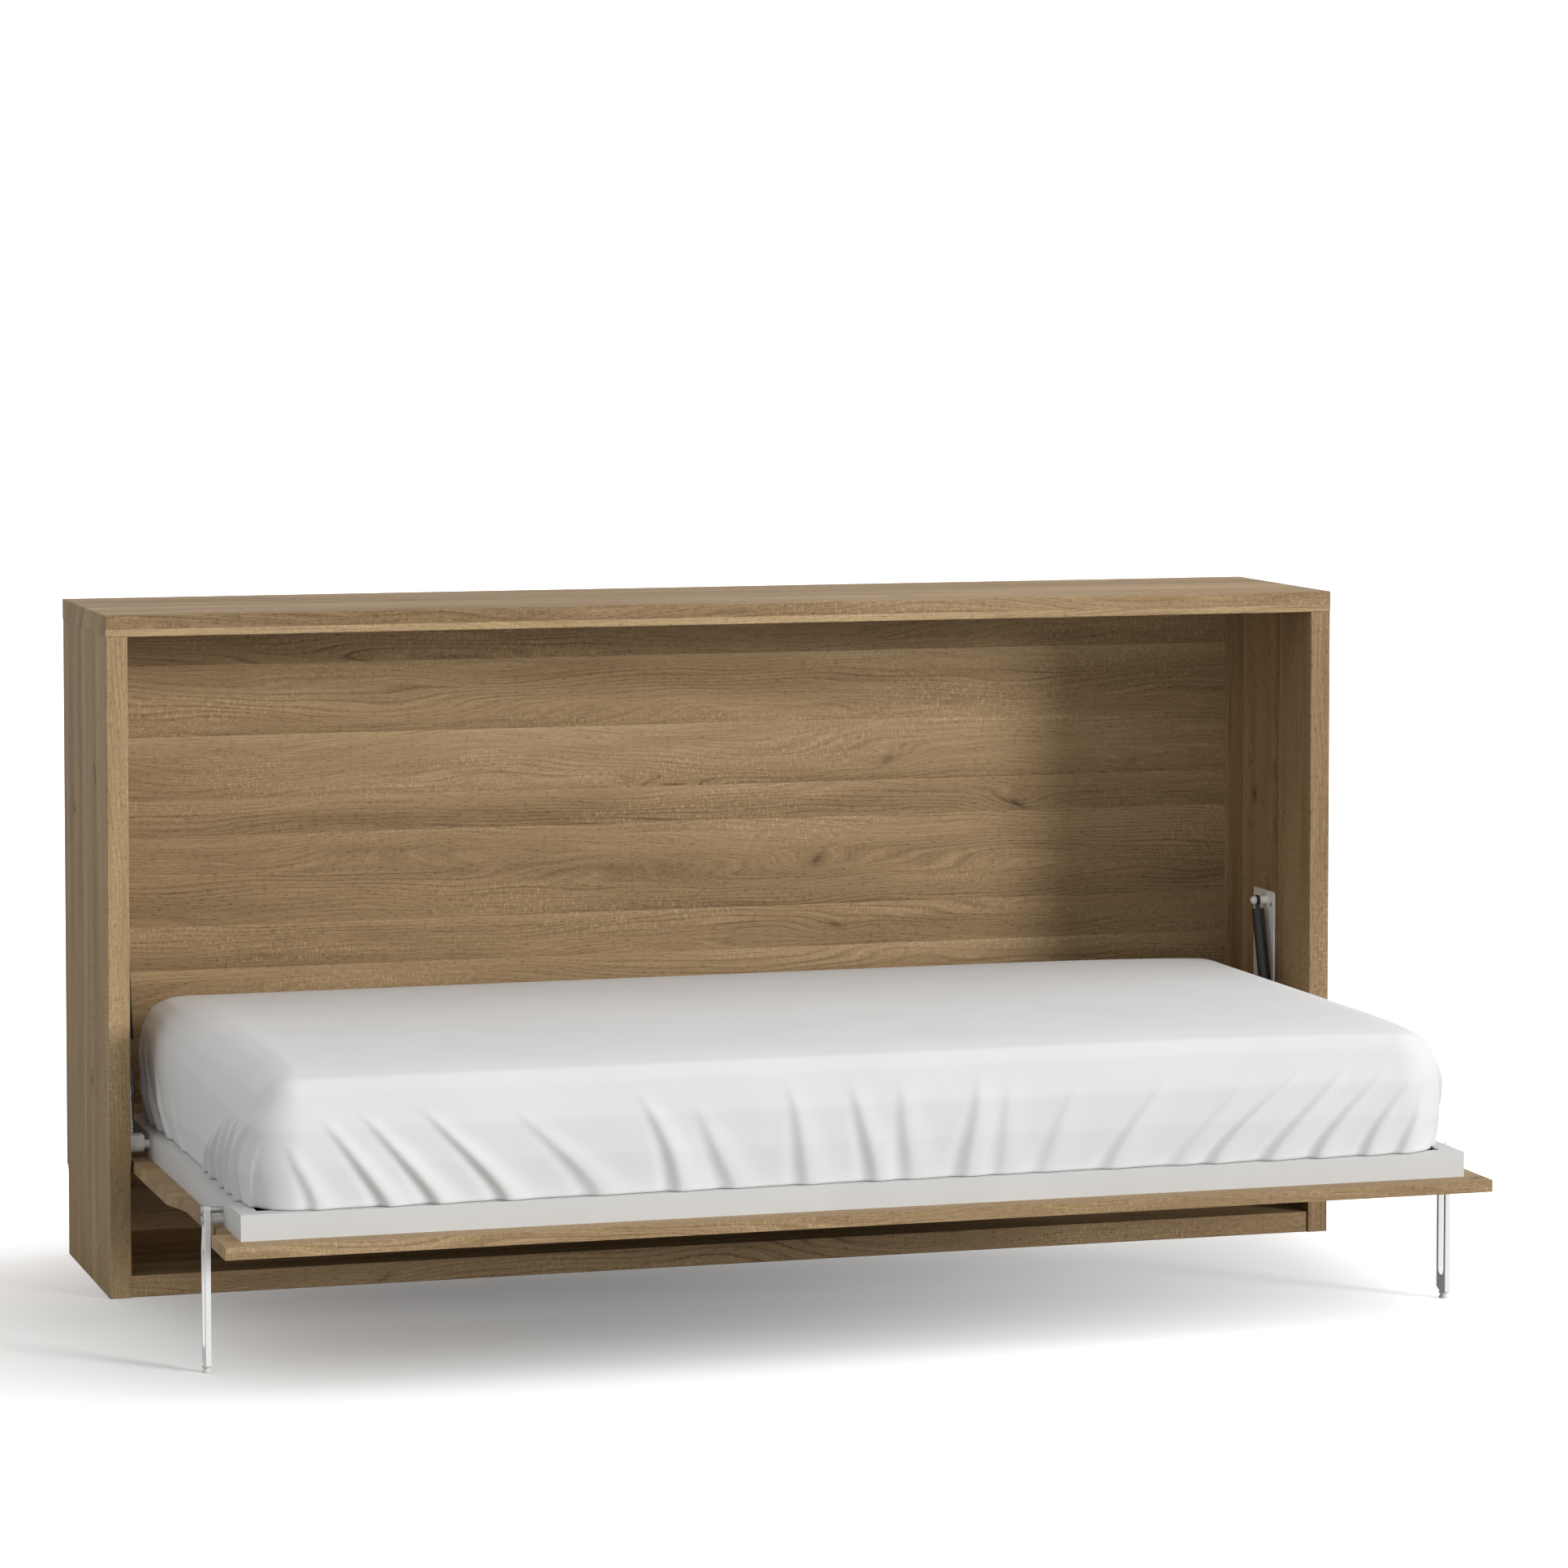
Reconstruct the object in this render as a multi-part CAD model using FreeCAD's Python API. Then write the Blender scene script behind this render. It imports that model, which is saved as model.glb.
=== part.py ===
# Wall bed: a single bed that folds sideways up into a low oak cabinet. Millimetres.
# X runs along the bed, Y from the room towards the wall, Z up from the floor.
# The origin is the middle of the cabinet's underside, and the bed is modelled down, ready to sleep on.
import FreeCAD, Part
import math
import os

V = FreeCAD.Vector
TINY = 1e-6

# Mattress, and the room that the frame leaves round it
MATTRESS_LENGTH = 1900.0
MATTRESS_WIDTH = 900.0
MATTRESS_HEIGHT = 218.0
MATTRESS_END_GAP = 8.5
MATTRESS_SIDE_GAP = 10.0
MATTRESS_CORNER = 60.0
MATTRESS_BULGE = 27.0
SEAT_GAP = 0.3
# Share of the mattress's height, and how far its side stands out from the plain block there
MATTRESS_LEVELS = [(0.0, -9.0), (0.03, -3.0), (0.06, 3.0),
                   (0.085, 0.52 * MATTRESS_BULGE), (0.13, 0.74 * MATTRESS_BULGE),
                   (0.25, 0.92 * MATTRESS_BULGE), (0.42, MATTRESS_BULGE),
                   (0.58, 0.96 * MATTRESS_BULGE), (0.7, 0.78 * MATTRESS_BULGE),
                   (0.79, 0.4 * MATTRESS_BULGE), (0.86, -4.0), (0.915, -22.0), (0.955, -48.0),
                   (0.98, -85.0), (0.994, -170.0), (1.0, -300.0)]

# Cabinet boards
CABINET_DEPTH = 430.0
BOARD = 35.0
EDGE_BREAK = 1.0
EDGE_ROUND = 1.0
TOP_OVERHANG = 1.0
BOTTOM_SETBACK = 3.5
BACK_THICKNESS = 6.0
BACK_VOID = 18.0
BACK_LIFT = 3.0
GROOVE_DEPTH = 9.0
GROOVE_PLAY = 0.2
SKIRTING_HEIGHT = 152.0
SKIRTING_DEPTH = 15.0
DOWEL_RADIUS = 4.0
DOWEL_LENGTH = 30.0
DOWELS_PER_JOINT = 4
DOWEL_MARGIN = 50.0

# Wall rail and the steel angles that take the wall screws
WALL_RAIL_HEIGHT = 100.0
WALL_HOLE_SPACING = 1400.0
WALL_HOLE_RADIUS = 4.25
WALL_HOLE_DROP = 17.0
ANGLE_LEG = 30.0
ANGLE_LENGTH = 60.0
ANGLE_STEEL = 3.0
ANGLE_SCREW_PITCH = 36.0

# Bed frame of rectangular tube on its front panel
RAIL_WIDTH = 30.0
RAIL_HEIGHT = 40.0
RAIL_WALL = 2.0
PANEL_THICKNESS = 19.0
PANEL_SIDE_GAP = 5.0
PANEL_TOP_GAP = 4.5
PANEL_SWEEP_GAP = 2.0
PANEL_LIP = 41.0
FRAME_TAIL = 194.5
HINGE_SPACE = 36.5
CROSS_BAR_WIDTH = 40.0
CROSS_BAR_STEEL = 5.0
TAB_LENGTH = 40.0
TAB_WIDTH = 25.0
TAB_STEEL = 3.0
TABS_PER_RAIL = 4

# Sprung slats and their end caps
SLAT_COUNT = 14
SLAT_WIDTH = 68.0
SLAT_THICKNESS = 8.0
SLAT_CROWN = 6.0
SLAT_RISE = 14.0
CAP_WALL = 2.5
CAP_DEPTH = 24.0
CAP_PLAY = 0.2
CAP_SLOPE_PLAY = 0.8

# Lugs on the end rails that keep the mattress from sliding
STOP_WIDTH = 10.0
STOP_DEPTH = 8.0
STOP_HEIGHT = 8.0
STOP_FROM_REAR = 42.0

# Bed pivot: the panel closes flush because its outer face lies PIVOT_DEPTH from the axis
PIVOT_DEPTH = 41.0
PIVOT_HEIGHT = 244.0
PIVOT_RADIUS = 7.0
RUNNING_CLEARANCE = 0.05
BUSH_WALL = 3.0
BLOCK_LENGTH = 24.0
BLOCK_HALF_WIDTH = 13.0
BLOCK_RISE = 16.0
BLOCK_END_PLAY = 2.0
BLOCK_HOLE_RADIUS = 2.0
BLOCK_HOLE_DEPTH = 2.5
BLOCK_HOLE_RISE = 8.0

# Hinge plate: a tower for the strut's stud on a foot for the pivot block
PLATE_STEEL = 3.0
PLATE_FRONT = 160.0
PLATE_BACK = 253.0
PLATE_ABOVE_STUD = 16.5
PLATE_FOOT_FRONT = 14.0
PLATE_FOOT_DROP = 40.0
PLATE_FOOT_RISE = 45.0
PLATE_SHOULDER_RISE = 140.0
PLATE_SHOULDER_RUN = 50.0
PLATE_ROUND = 8.0
PLATE_TOP_ROUND = 2.0
PLATE_SWEEP = 25.0
PLATE_MARGIN = 12.0

# Gas strut from the stud on the plate to a boss on the frame, STRUT_LEVER behind the pivot
STUD_DEPTH = 193.5
STUD_HEIGHT = 555.5
STRUT_LEVER = 64.0
STRUT_WALL_GAP = 20.5
STUD_RADIUS = 4.0
STUD_COLLAR_RADIUS = 7.2
STUD_COLLAR_LENGTH = 4.5
STUD_DOME_RADIUS = 5.6
STUD_TIP_RADIUS = 2.4
STUD_TIP_LENGTH = 4.6
EYE_THICKNESS = 5.6
EYE_RADIUS = 9.0
EYE_STEM_RADIUS = 4.0
EYE_SIDE_PLAY = 0.2
COVER_START = 16.0
COVER_SHARE = 0.6
COVER_WALL = 1.4
COVER_CAP = 3.0
COVER_PLAY = 0.1
TUBE_RADIUS = 9.5
TUBE_WALL = 1.5
TUBE_PLUG = 14.0
GLAND_LENGTH = 15.0
ROD_RADIUS = 4.5
PISTON_LENGTH = 12.0
PISTON_ROOM = 5.0
ROD_EYE_RADIUS = 10.0
ROD_EYE_THICKNESS = 8.0
ROD_EYE_SHANK_RADIUS = 6.5
ROD_EYE_SHANK = 24.0
ROD_EYE_SHANK_END = 8.0
ROD_SEAT = 14.0
ROD_SHOWN = 42.8
PIN_COLLAR_RADIUS = 7.0
PIN_COLLAR_LENGTH = 2.6
PIN_HEAD_LENGTH = 4.0
BOSS_RADIUS = 8.0
BOSS_GAP = 0.4

# Legs: slotted steel plates that hang from a bolt beside the end rails
LEG_SETBACK = 141.5
LEG_PIVOT_RISE = 9.5
LEG_WALL_GAP = 6.0
LEG_THICKNESS = 8.0
LEG_FRONT = 18.0
LEG_REAR = 17.0
LEG_TOP = 22.0
LEG_NECK_RADIUS = 9.3
LEG_NECK_END = 17.0
LEG_WAIST_END = 44.0
LEG_WAIST_ROUND = 60.0
LEG_SLOT_WIDTH = 20.0
LEG_SLOT_FOOT = 37.0
LEG_SLOT_HEAD = 45.0
LEG_CHAMFER_RUN = 12.0
LEG_CHAMFER_RISE = 6.0
LEG_CORNER = 3.0
FOOT_HEIGHT = 10.0
FOOT_RADIUS = 7.5
FOOT_WAIST_RADIUS = 5.5
FOOT_PAD = 2.5
FOOT_WAIST_LOW = 4.5
FOOT_WAIST_HIGH = 6.0
FOOT_COLLAR = 2.0
FOOT_STEM_RADIUS = 2.5
FOOT_STEM = 14.0
FOOT_LEAD = 3.0
LEG_BOLT_RADIUS = 4.0
LEG_BUSH_WALL = 2.0
LEG_BOLT_HEAD_RADIUS = 7.0
LEG_BOLT_HEAD = 3.0
LEG_BOLT_HEAD_CHAMFER = 1.0
LEG_BOLT_CROWN_RADIUS = 4.2
LEG_SIDE_PLAY = 0.3
LEG_BOLT_GRIP = 16.0
SPACER_RADIUS = 6.75
LEG_STOP_RADIUS = 5.2
LEG_STOP_RISE = 15.0
LEG_STOP_BEHIND = 2.0
LEG_STOP_PLAY = 0.15
LEG_STOP_HEAD_RADIUS = 6.5
LEG_STOP_CROWN_RADIUS = 4.5

# Notch in each end of the panel, in which the leg folds
NOTCH_DEPTH = 18.0
NOTCH_AHEAD = 72.0
NOTCH_END_GAP = 4.0
NOTCH_RUN = 72.0
NOTCH_ROUND = 90.0

# Screws and dowels
FASTENER_SIDES = 8
SCREW_RADIUS = 2.0
SCREW_HEAD_RADIUS = 4.0
SCREW_HEAD = 2.2
PLATE_SCREW_LENGTH = 25.0
PANEL_SCREW_BITE = 14.0
ANGLE_SCREW_BITE = 22.0

# Worked-out places
FRAME_LENGTH = MATTRESS_LENGTH + 2 * (MATTRESS_END_GAP + RAIL_WIDTH)
FRAME_WIDTH = MATTRESS_WIDTH + 2 * (MATTRESS_SIDE_GAP + RAIL_WIDTH)
INNER_WIDTH = FRAME_LENGTH + 2 * HINGE_SPACE
CABINET_WIDTH = INNER_WIDTH + 2 * BOARD
INNER_X = INNER_WIDTH / 2
OUTER_X = CABINET_WIDTH / 2
FRONT_Y = -CABINET_DEPTH / 2
WALL_Y = CABINET_DEPTH / 2
BACK_REAR_Y = WALL_Y - BACK_VOID
BACK_FRONT_Y = BACK_REAR_Y - BACK_THICKNESS
PIVOT_Y = FRONT_Y + PIVOT_DEPTH
FRAME_REAR_Y = PIVOT_Y + FRAME_TAIL
FRAME_FRONT_Y = FRAME_REAR_Y - FRAME_WIDTH
PANEL_FRONT_Y = FRAME_FRONT_Y - PANEL_LIP
TOP_Z = PIVOT_HEIGHT + PIVOT_Y - PANEL_FRONT_Y + PANEL_TOP_GAP
CABINET_HEIGHT = TOP_Z + BOARD
PANEL_BOTTOM_Z = PIVOT_HEIGHT - PIVOT_DEPTH
PANEL_TOP_Z = PANEL_BOTTOM_Z + PANEL_THICKNESS
PANEL_TAIL = math.sqrt((PIVOT_HEIGHT - BOARD - PANEL_SWEEP_GAP) ** 2 - PIVOT_DEPTH ** 2)
PANEL_REAR_Y = PIVOT_Y + PANEL_TAIL
PANEL_X = INNER_X - PANEL_SIDE_GAP
FRAME_X = FRAME_LENGTH / 2
FRAME_INNER_X = FRAME_X - RAIL_WIDTH
RAIL_TOP_Z = PANEL_TOP_Z + RAIL_HEIGHT
SLAT_FRONT_Y = FRAME_FRONT_Y + RAIL_WIDTH
SLAT_REAR_Y = FRAME_REAR_Y - RAIL_WIDTH
BED_MIDDLE_Y = (FRAME_FRONT_Y + FRAME_REAR_Y) / 2
SLAT_Z = PANEL_TOP_Z + SLAT_RISE
MATTRESS_Z = SLAT_Z + SLAT_THICKNESS + SLAT_CROWN + SEAT_GAP
LEG_PIVOT_Y = FRAME_FRONT_Y + LEG_SETBACK
LEG_PIVOT_Z = PANEL_TOP_Z + LEG_PIVOT_RISE
LEG_REACH = LEG_PIVOT_Z
LEG_INNER = LEG_WALL_GAP + LEG_THICKNESS
LEG_HEAD_FACE = LEG_WALL_GAP - LEG_SIDE_PLAY
LEG_BUSH_RADIUS = LEG_BOLT_RADIUS + RUNNING_CLEARANCE + LEG_BUSH_WALL
BUSH_RADIUS = PIVOT_RADIUS + RUNNING_CLEARANCE + BUSH_WALL
BLOCK_END = PLATE_STEEL + BLOCK_LENGTH
STUD_Y = FRONT_Y + STUD_DEPTH
STRUT_FOOT_Y = PIVOT_Y + STRUT_LEVER
STRUT_RUN = math.hypot(STUD_Y - STRUT_FOOT_Y, STUD_HEIGHT - PIVOT_HEIGHT)
STRUT_OPEN = math.hypot(STUD_Y - PIVOT_Y, STUD_HEIGHT - PIVOT_HEIGHT + STRUT_LEVER)
STRUT_STROKE = STRUT_OPEN - STRUT_RUN
STRUT_WAY = V(0, (STRUT_FOOT_Y - STUD_Y) / STRUT_RUN, (PIVOT_HEIGHT - STUD_HEIGHT) / STRUT_RUN)
TUBE_START = COVER_START + COVER_CAP
TUBE_END = STRUT_RUN - ROD_EYE_SHANK - ROD_SHOWN
COVER_END = TUBE_START + COVER_SHARE * (TUBE_END - TUBE_START)
TUBE_BORE = TUBE_RADIUS - TUBE_WALL


def box(x, y, z):
    """Block between the two values of each pair."""
    return Part.makeBox(x[1] - x[0], y[1] - y[0], z[1] - z[0], V(x[0], y[0], z[0]))


def bar(start, end, radius):
    """Round bar from one point to another."""
    way = end - start
    return Part.makeCylinder(radius, way.Length, start, way)


def one(shapes):
    """Shapes fused to a single clean solid."""
    return shapes[0].multiFuse(shapes[1:]).removeSplitter()


def mirrored(shape):
    """The same piece at the other end of the bed."""
    return shape.mirror(V(0, 0, 0), V(1, 0, 0))


def from_wall(distance):
    """X at a distance from the inner face of the left side panel."""
    return -INNER_X + distance


def outline(corners, place):
    """Closed wire through (a, b, radius) corners; place turns a and b into a point."""
    points = [V(a, b, 0) for a, b, _ in corners]
    rounds = []
    for index, (_, _, radius) in enumerate(corners):
        corner = points[index]
        before = (points[index - 1] - corner).normalize()
        after = (points[(index + 1) % len(points)] - corner).normalize()
        half = before.getAngle(after) / 2
        reach = radius / math.tan(half)
        middle = (before + after).normalize() * (radius / math.sin(half) - radius)
        rounds.append((corner + before * reach, corner + middle, corner + after * reach))
    edges = []
    for index, (start, middle, end) in enumerate(rounds):
        following = rounds[(index + 1) % len(rounds)][0]
        if (end - start).Length > TINY:
            arc = Part.Arc(place(start.x, start.y), place(middle.x, middle.y), place(end.x, end.y))
            edges.append(arc.toShape())
        if (following - end).Length > TINY:
            edges.append(Part.LineSegment(place(end.x, end.y), place(following.x, following.y)).toShape())
    return Part.Wire(edges)


def plate(corners, place, depth):
    """Flat piece: an outline extruded along a vector."""
    return Part.Face(outline(corners, place)).extrude(depth)


def turned(profile, centre, along):
    """Round piece: (distance along the axis, radius) points turned about the axis."""
    side = V(0, 0, 1) if abs(along.z) < 0.5 else V(1, 0, 0)
    points = [centre + along * distance + side * radius for distance, radius in profile]
    face = Part.Face(Part.makePolygon(points + points[:1]))
    return face.revolve(centre, along, 360)


def eight_sided(profile, centre, along):
    """Plain stand-in for a thin round piece: eight-sided through (distance along the axis, radius) rings."""
    side = V(0, 0, 1) if abs(along.z) < 0.5 else V(1, 0, 0)
    other = along.cross(side)
    rings = []
    for distance, radius in profile:
        turns = [math.pi * (2 * index + 1) / FASTENER_SIDES for index in range(FASTENER_SIDES)]
        spokes = [side * (radius * math.cos(turn)) + other * (radius * math.sin(turn)) for turn in turns]
        points = [centre + along * distance + spoke for spoke in spokes]
        rings.append(Part.makePolygon(points + points[:1]))
    return Part.makeLoft(rings, True, True)


def spread(count, low, high):
    """Evenly spaced middles of count equal parts of a stretch."""
    return [low + (high - low) * (index + 0.5) / count for index in range(count)]


def dowels():
    """Dowels of the four corner joints of the cabinet."""
    pieces = []
    fluted = [(-DOWEL_LENGTH / 2, DOWEL_RADIUS), (DOWEL_LENGTH / 2, DOWEL_RADIUS)]
    for y in spread(DOWELS_PER_JOINT, FRONT_Y + DOWEL_MARGIN, BACK_FRONT_Y - DOWEL_MARGIN):
        for side in (-1, 1):
            top = V(side * (INNER_X + BOARD / 2), y, TOP_Z)
            pieces.append(eight_sided(fluted, top, V(0, 0, 1)))
            foot = V(side * INNER_X, y, BOARD / 2)
            pieces.append(eight_sided(fluted, foot, V(1, 0, 0)))
    return pieces


def countersunk_screw(head, along, length):
    """Screw whose flat head lies flush at the point head."""
    profile = [(0, SCREW_HEAD_RADIUS), (SCREW_HEAD, SCREW_RADIUS), (length, SCREW_RADIUS)]
    return eight_sided(profile, head, along)


def pan_head_screw(seat, along, length):
    """Screw whose head sits on the point seat."""
    head = eight_sided([(-SCREW_HEAD, SCREW_HEAD_RADIUS), (0, SCREW_HEAD_RADIUS)], seat, along)
    return one([head, eight_sided([(0, SCREW_RADIUS), (length, SCREW_RADIUS)], seat, along)])


def hinge_plate_screws():
    """Screws of the left hinge plate."""
    tower_top = STUD_HEIGHT - PLATE_MARGIN / 2
    tower_foot = PIVOT_HEIGHT + PLATE_SHOULDER_RISE + PLATE_SWEEP
    foot_low = PIVOT_HEIGHT - PLATE_FOOT_DROP + PLATE_MARGIN
    foot_high = PIVOT_HEIGHT + PLATE_FOOT_RISE - PLATE_MARGIN
    front = PLATE_FRONT + PLATE_MARGIN
    back = PLATE_BACK - PLATE_MARGIN
    toe = PLATE_FOOT_FRONT + PLATE_MARGIN
    places = [(front, tower_top), (back, tower_top), (front, tower_foot), (back, tower_foot)]
    places += [(toe, foot_low), (toe, foot_high), (back, foot_low), (front, foot_low)]
    heads = [V(from_wall(PLATE_STEEL), FRONT_Y + depth, z) for depth, z in places]
    return [countersunk_screw(head, V(-1, 0, 0), PLATE_SCREW_LENGTH) for head in heads]


def side_panel():
    """Left side board with its groove, skirting cut-out and drillings."""
    board = box((-OUTER_X, -INNER_X), (FRONT_Y, WALL_Y), (0, TOP_Z))
    front_edges = [edge for edge in board.Edges if abs(edge.CenterOfMass.y - FRONT_Y) < EDGE_BREAK
                   and abs(edge.CenterOfMass.z - TOP_Z / 2) < EDGE_BREAK]
    board = board.makeChamfer(EDGE_BREAK, front_edges)
    groove = box((-INNER_X - GROOVE_DEPTH, -INNER_X), (BACK_FRONT_Y - GROOVE_PLAY, BACK_REAR_Y + GROOVE_PLAY),
                 (0, TOP_Z))
    skirting = plate([(WALL_Y - SKIRTING_DEPTH, -BOARD, 0),
                      (WALL_Y + SKIRTING_DEPTH, -BOARD, 0),
                      (WALL_Y + SKIRTING_DEPTH, SKIRTING_HEIGHT, 0),
                      (WALL_Y - SKIRTING_DEPTH, SKIRTING_HEIGHT, SKIRTING_DEPTH)],
                     lambda y, z: V(-OUTER_X, y, z), V(BOARD, 0, 0))
    return board.cut([groove, skirting] + dowels() + hinge_plate_screws())


def wall_holes():
    """Bars of the wall screws' size through the angles, the back panel and the wall rail."""
    z = TOP_Z - WALL_HOLE_DROP
    ends = [(x, BACK_FRONT_Y - ANGLE_LEG, WALL_Y + ANGLE_LEG)
            for x in (-WALL_HOLE_SPACING / 2, WALL_HOLE_SPACING / 2)]
    return [bar(V(x, front, z), V(x, rear, z), WALL_HOLE_RADIUS) for x, front, rear in ends]


def bracket_screws():
    """Pan-head screws that hold the angles to the top board."""
    y = BACK_FRONT_Y - ANGLE_LEG / 2 - ANGLE_STEEL / 2
    screws = []
    for middle in (-WALL_HOLE_SPACING / 2, WALL_HOLE_SPACING / 2):
        for offset in (-ANGLE_SCREW_PITCH / 2, ANGLE_SCREW_PITCH / 2):
            seat = V(middle + offset, y, TOP_Z - ANGLE_STEEL)
            screws.append(pan_head_screw(seat, V(0, 0, 1), ANGLE_SCREW_BITE))
    return screws


def wall_brackets():
    """Two bent steel angles in the corner of the top board and the back panel."""
    corners = [(BACK_FRONT_Y, TOP_Z, ANGLE_STEEL), (BACK_FRONT_Y - ANGLE_LEG, TOP_Z, 0),
               (BACK_FRONT_Y - ANGLE_LEG, TOP_Z - ANGLE_STEEL, 0),
               (BACK_FRONT_Y - ANGLE_STEEL, TOP_Z - ANGLE_STEEL, ANGLE_STEEL / 2),
               (BACK_FRONT_Y - ANGLE_STEEL, TOP_Z - ANGLE_LEG, 0), (BACK_FRONT_Y, TOP_Z - ANGLE_LEG, 0)]
    angles = []
    for middle in (-WALL_HOLE_SPACING / 2, WALL_HOLE_SPACING / 2):
        start = middle - ANGLE_LENGTH / 2
        angle = plate(corners, lambda y, z: V(start, y, z), V(ANGLE_LENGTH, 0, 0))
        angles.append(angle.cut(wall_holes() + bracket_screws()))
    return angles


def top_board():
    """Top board that lies on the sides, grooved for the back panel."""
    board = box((-OUTER_X - TOP_OVERHANG, OUTER_X + TOP_OVERHANG), (FRONT_Y, WALL_Y), (TOP_Z, CABINET_HEIGHT))
    board = board.makeChamfer(EDGE_BREAK, board.Edges)
    groove_reach = INNER_X + GROOVE_DEPTH
    groove = box((-groove_reach, groove_reach), (BACK_FRONT_Y - GROOVE_PLAY, BACK_REAR_Y + GROOVE_PLAY),
                 (TOP_Z, TOP_Z + GROOVE_DEPTH))
    return board.cut([groove] + dowels() + bracket_screws())


def bottom_board():
    """Bottom board on the floor between the sides."""
    board = box((-INNER_X, INNER_X), (FRONT_Y + BOTTOM_SETBACK, BACK_FRONT_Y), (0, BOARD))
    front_edges = [edge for edge in board.Edges if edge.CenterOfMass.y < FRONT_Y + BOTTOM_SETBACK + EDGE_BREAK
                   and abs(edge.CenterOfMass.x) < EDGE_BREAK]
    return board.makeChamfer(EDGE_BREAK, front_edges).cut(dowels())


def back_panel():
    """Thin back in the grooves of the sides and the top."""
    reach = INNER_X + GROOVE_DEPTH - GROOVE_PLAY
    panel = box((-reach, reach), (BACK_FRONT_Y, BACK_REAR_Y), (BACK_LIFT, TOP_Z + GROOVE_DEPTH - GROOVE_PLAY))
    return panel.cut(wall_holes())


def wall_rail():
    """Hanging rail between the back panel and the wall."""
    rail = box((-INNER_X, INNER_X), (BACK_REAR_Y, WALL_Y), (TOP_Z - WALL_RAIL_HEIGHT, TOP_Z))
    return rail.cut(wall_holes())


def strut_stud():
    """Left stud with a domed end, riveted into the hinge plate, with collars round the strut's eye."""
    neck = EYE_THICKNESS / 2 + EYE_SIDE_PLAY
    inner = STRUT_WALL_GAP - neck
    outer = STRUT_WALL_GAP + neck
    collar_end = outer + STUD_COLLAR_LENGTH
    tip_end = collar_end + STUD_TIP_LENGTH
    profile = [(0, 0), (0, STUD_RADIUS), (PLATE_STEEL, STUD_RADIUS), (PLATE_STEEL, STUD_COLLAR_RADIUS),
               (inner, STUD_COLLAR_RADIUS), (inner, STUD_RADIUS), (outer, STUD_RADIUS),
               (outer, STUD_COLLAR_RADIUS), (collar_end, STUD_COLLAR_RADIUS),
               ((collar_end + tip_end) / 2, STUD_DOME_RADIUS), (tip_end, STUD_TIP_RADIUS), (tip_end, 0)]
    return turned(profile, V(from_wall(0), STUD_Y, STUD_HEIGHT), V(1, 0, 0))


def hinge_plate():
    """Left hinge plate, cut from sheet steel."""
    foot_low = PIVOT_HEIGHT - PLATE_FOOT_DROP
    foot_high = PIVOT_HEIGHT + PLATE_FOOT_RISE
    shoulder = PIVOT_HEIGHT + PLATE_SHOULDER_RISE
    top = STUD_HEIGHT + PLATE_ABOVE_STUD
    toe_end = PLATE_FOOT_FRONT + PLATE_SHOULDER_RUN
    corners = [(PLATE_FOOT_FRONT, foot_low, PLATE_ROUND), (PLATE_BACK, foot_low, PLATE_ROUND),
               (PLATE_BACK, top, PLATE_TOP_ROUND), (PLATE_FRONT, top, PLATE_ROUND),
               (PLATE_FRONT, shoulder, PLATE_SWEEP), (toe_end, foot_high, PLATE_SWEEP),
               (PLATE_FOOT_FRONT, foot_high, PLATE_ROUND)]
    sheet = plate(corners, lambda depth, z: V(-INNER_X, FRONT_Y + depth, z), V(PLATE_STEEL, 0, 0))
    return sheet.cut(hinge_plate_screws() + [strut_stud()])


def pivot_point(distance):
    """Point on the bed's pivot axis, by its distance from the left side panel."""
    return V(from_wall(distance), PIVOT_Y, PIVOT_HEIGHT)


def pivot_block():
    """Left bearing block: flat on top, round below, bored for the bush."""
    corners = [(PIVOT_Y - BLOCK_HALF_WIDTH, PIVOT_HEIGHT - BLOCK_HALF_WIDTH, BLOCK_HALF_WIDTH),
               (PIVOT_Y + BLOCK_HALF_WIDTH, PIVOT_HEIGHT - BLOCK_HALF_WIDTH, BLOCK_HALF_WIDTH),
               (PIVOT_Y + BLOCK_HALF_WIDTH, PIVOT_HEIGHT + BLOCK_RISE, EDGE_ROUND),
               (PIVOT_Y - BLOCK_HALF_WIDTH, PIVOT_HEIGHT + BLOCK_RISE, EDGE_ROUND)]
    block = plate(corners, lambda y, z: V(from_wall(PLATE_STEEL), y, z), V(BLOCK_LENGTH, 0, 0))
    bore = bar(pivot_point(PLATE_STEEL), pivot_point(BLOCK_END), BUSH_RADIUS)
    middle_x = from_wall(PLATE_STEEL + BLOCK_LENGTH / 2)
    face = V(middle_x, PIVOT_Y - BLOCK_HALF_WIDTH, PIVOT_HEIGHT + BLOCK_HOLE_RISE)
    grease_hole = bar(face, face + V(0, BLOCK_HOLE_DEPTH, 0), BLOCK_HOLE_RADIUS)
    return block.cut([bore, grease_hole])


def pivot_bush():
    """Left plain bush in the bearing block."""
    sleeve = bar(pivot_point(PLATE_STEEL), pivot_point(BLOCK_END), BUSH_RADIUS)
    return sleeve.cut(bar(pivot_point(PLATE_STEEL), pivot_point(BLOCK_END), PIVOT_RADIUS + RUNNING_CLEARANCE))


def pivot_pin():
    """Left pivot pin, welded through the end rail."""
    return bar(pivot_point(PLATE_STEEL + BLOCK_END_PLAY), pivot_point(HINGE_SPACE + RAIL_WIDTH), PIVOT_RADIUS)


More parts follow.
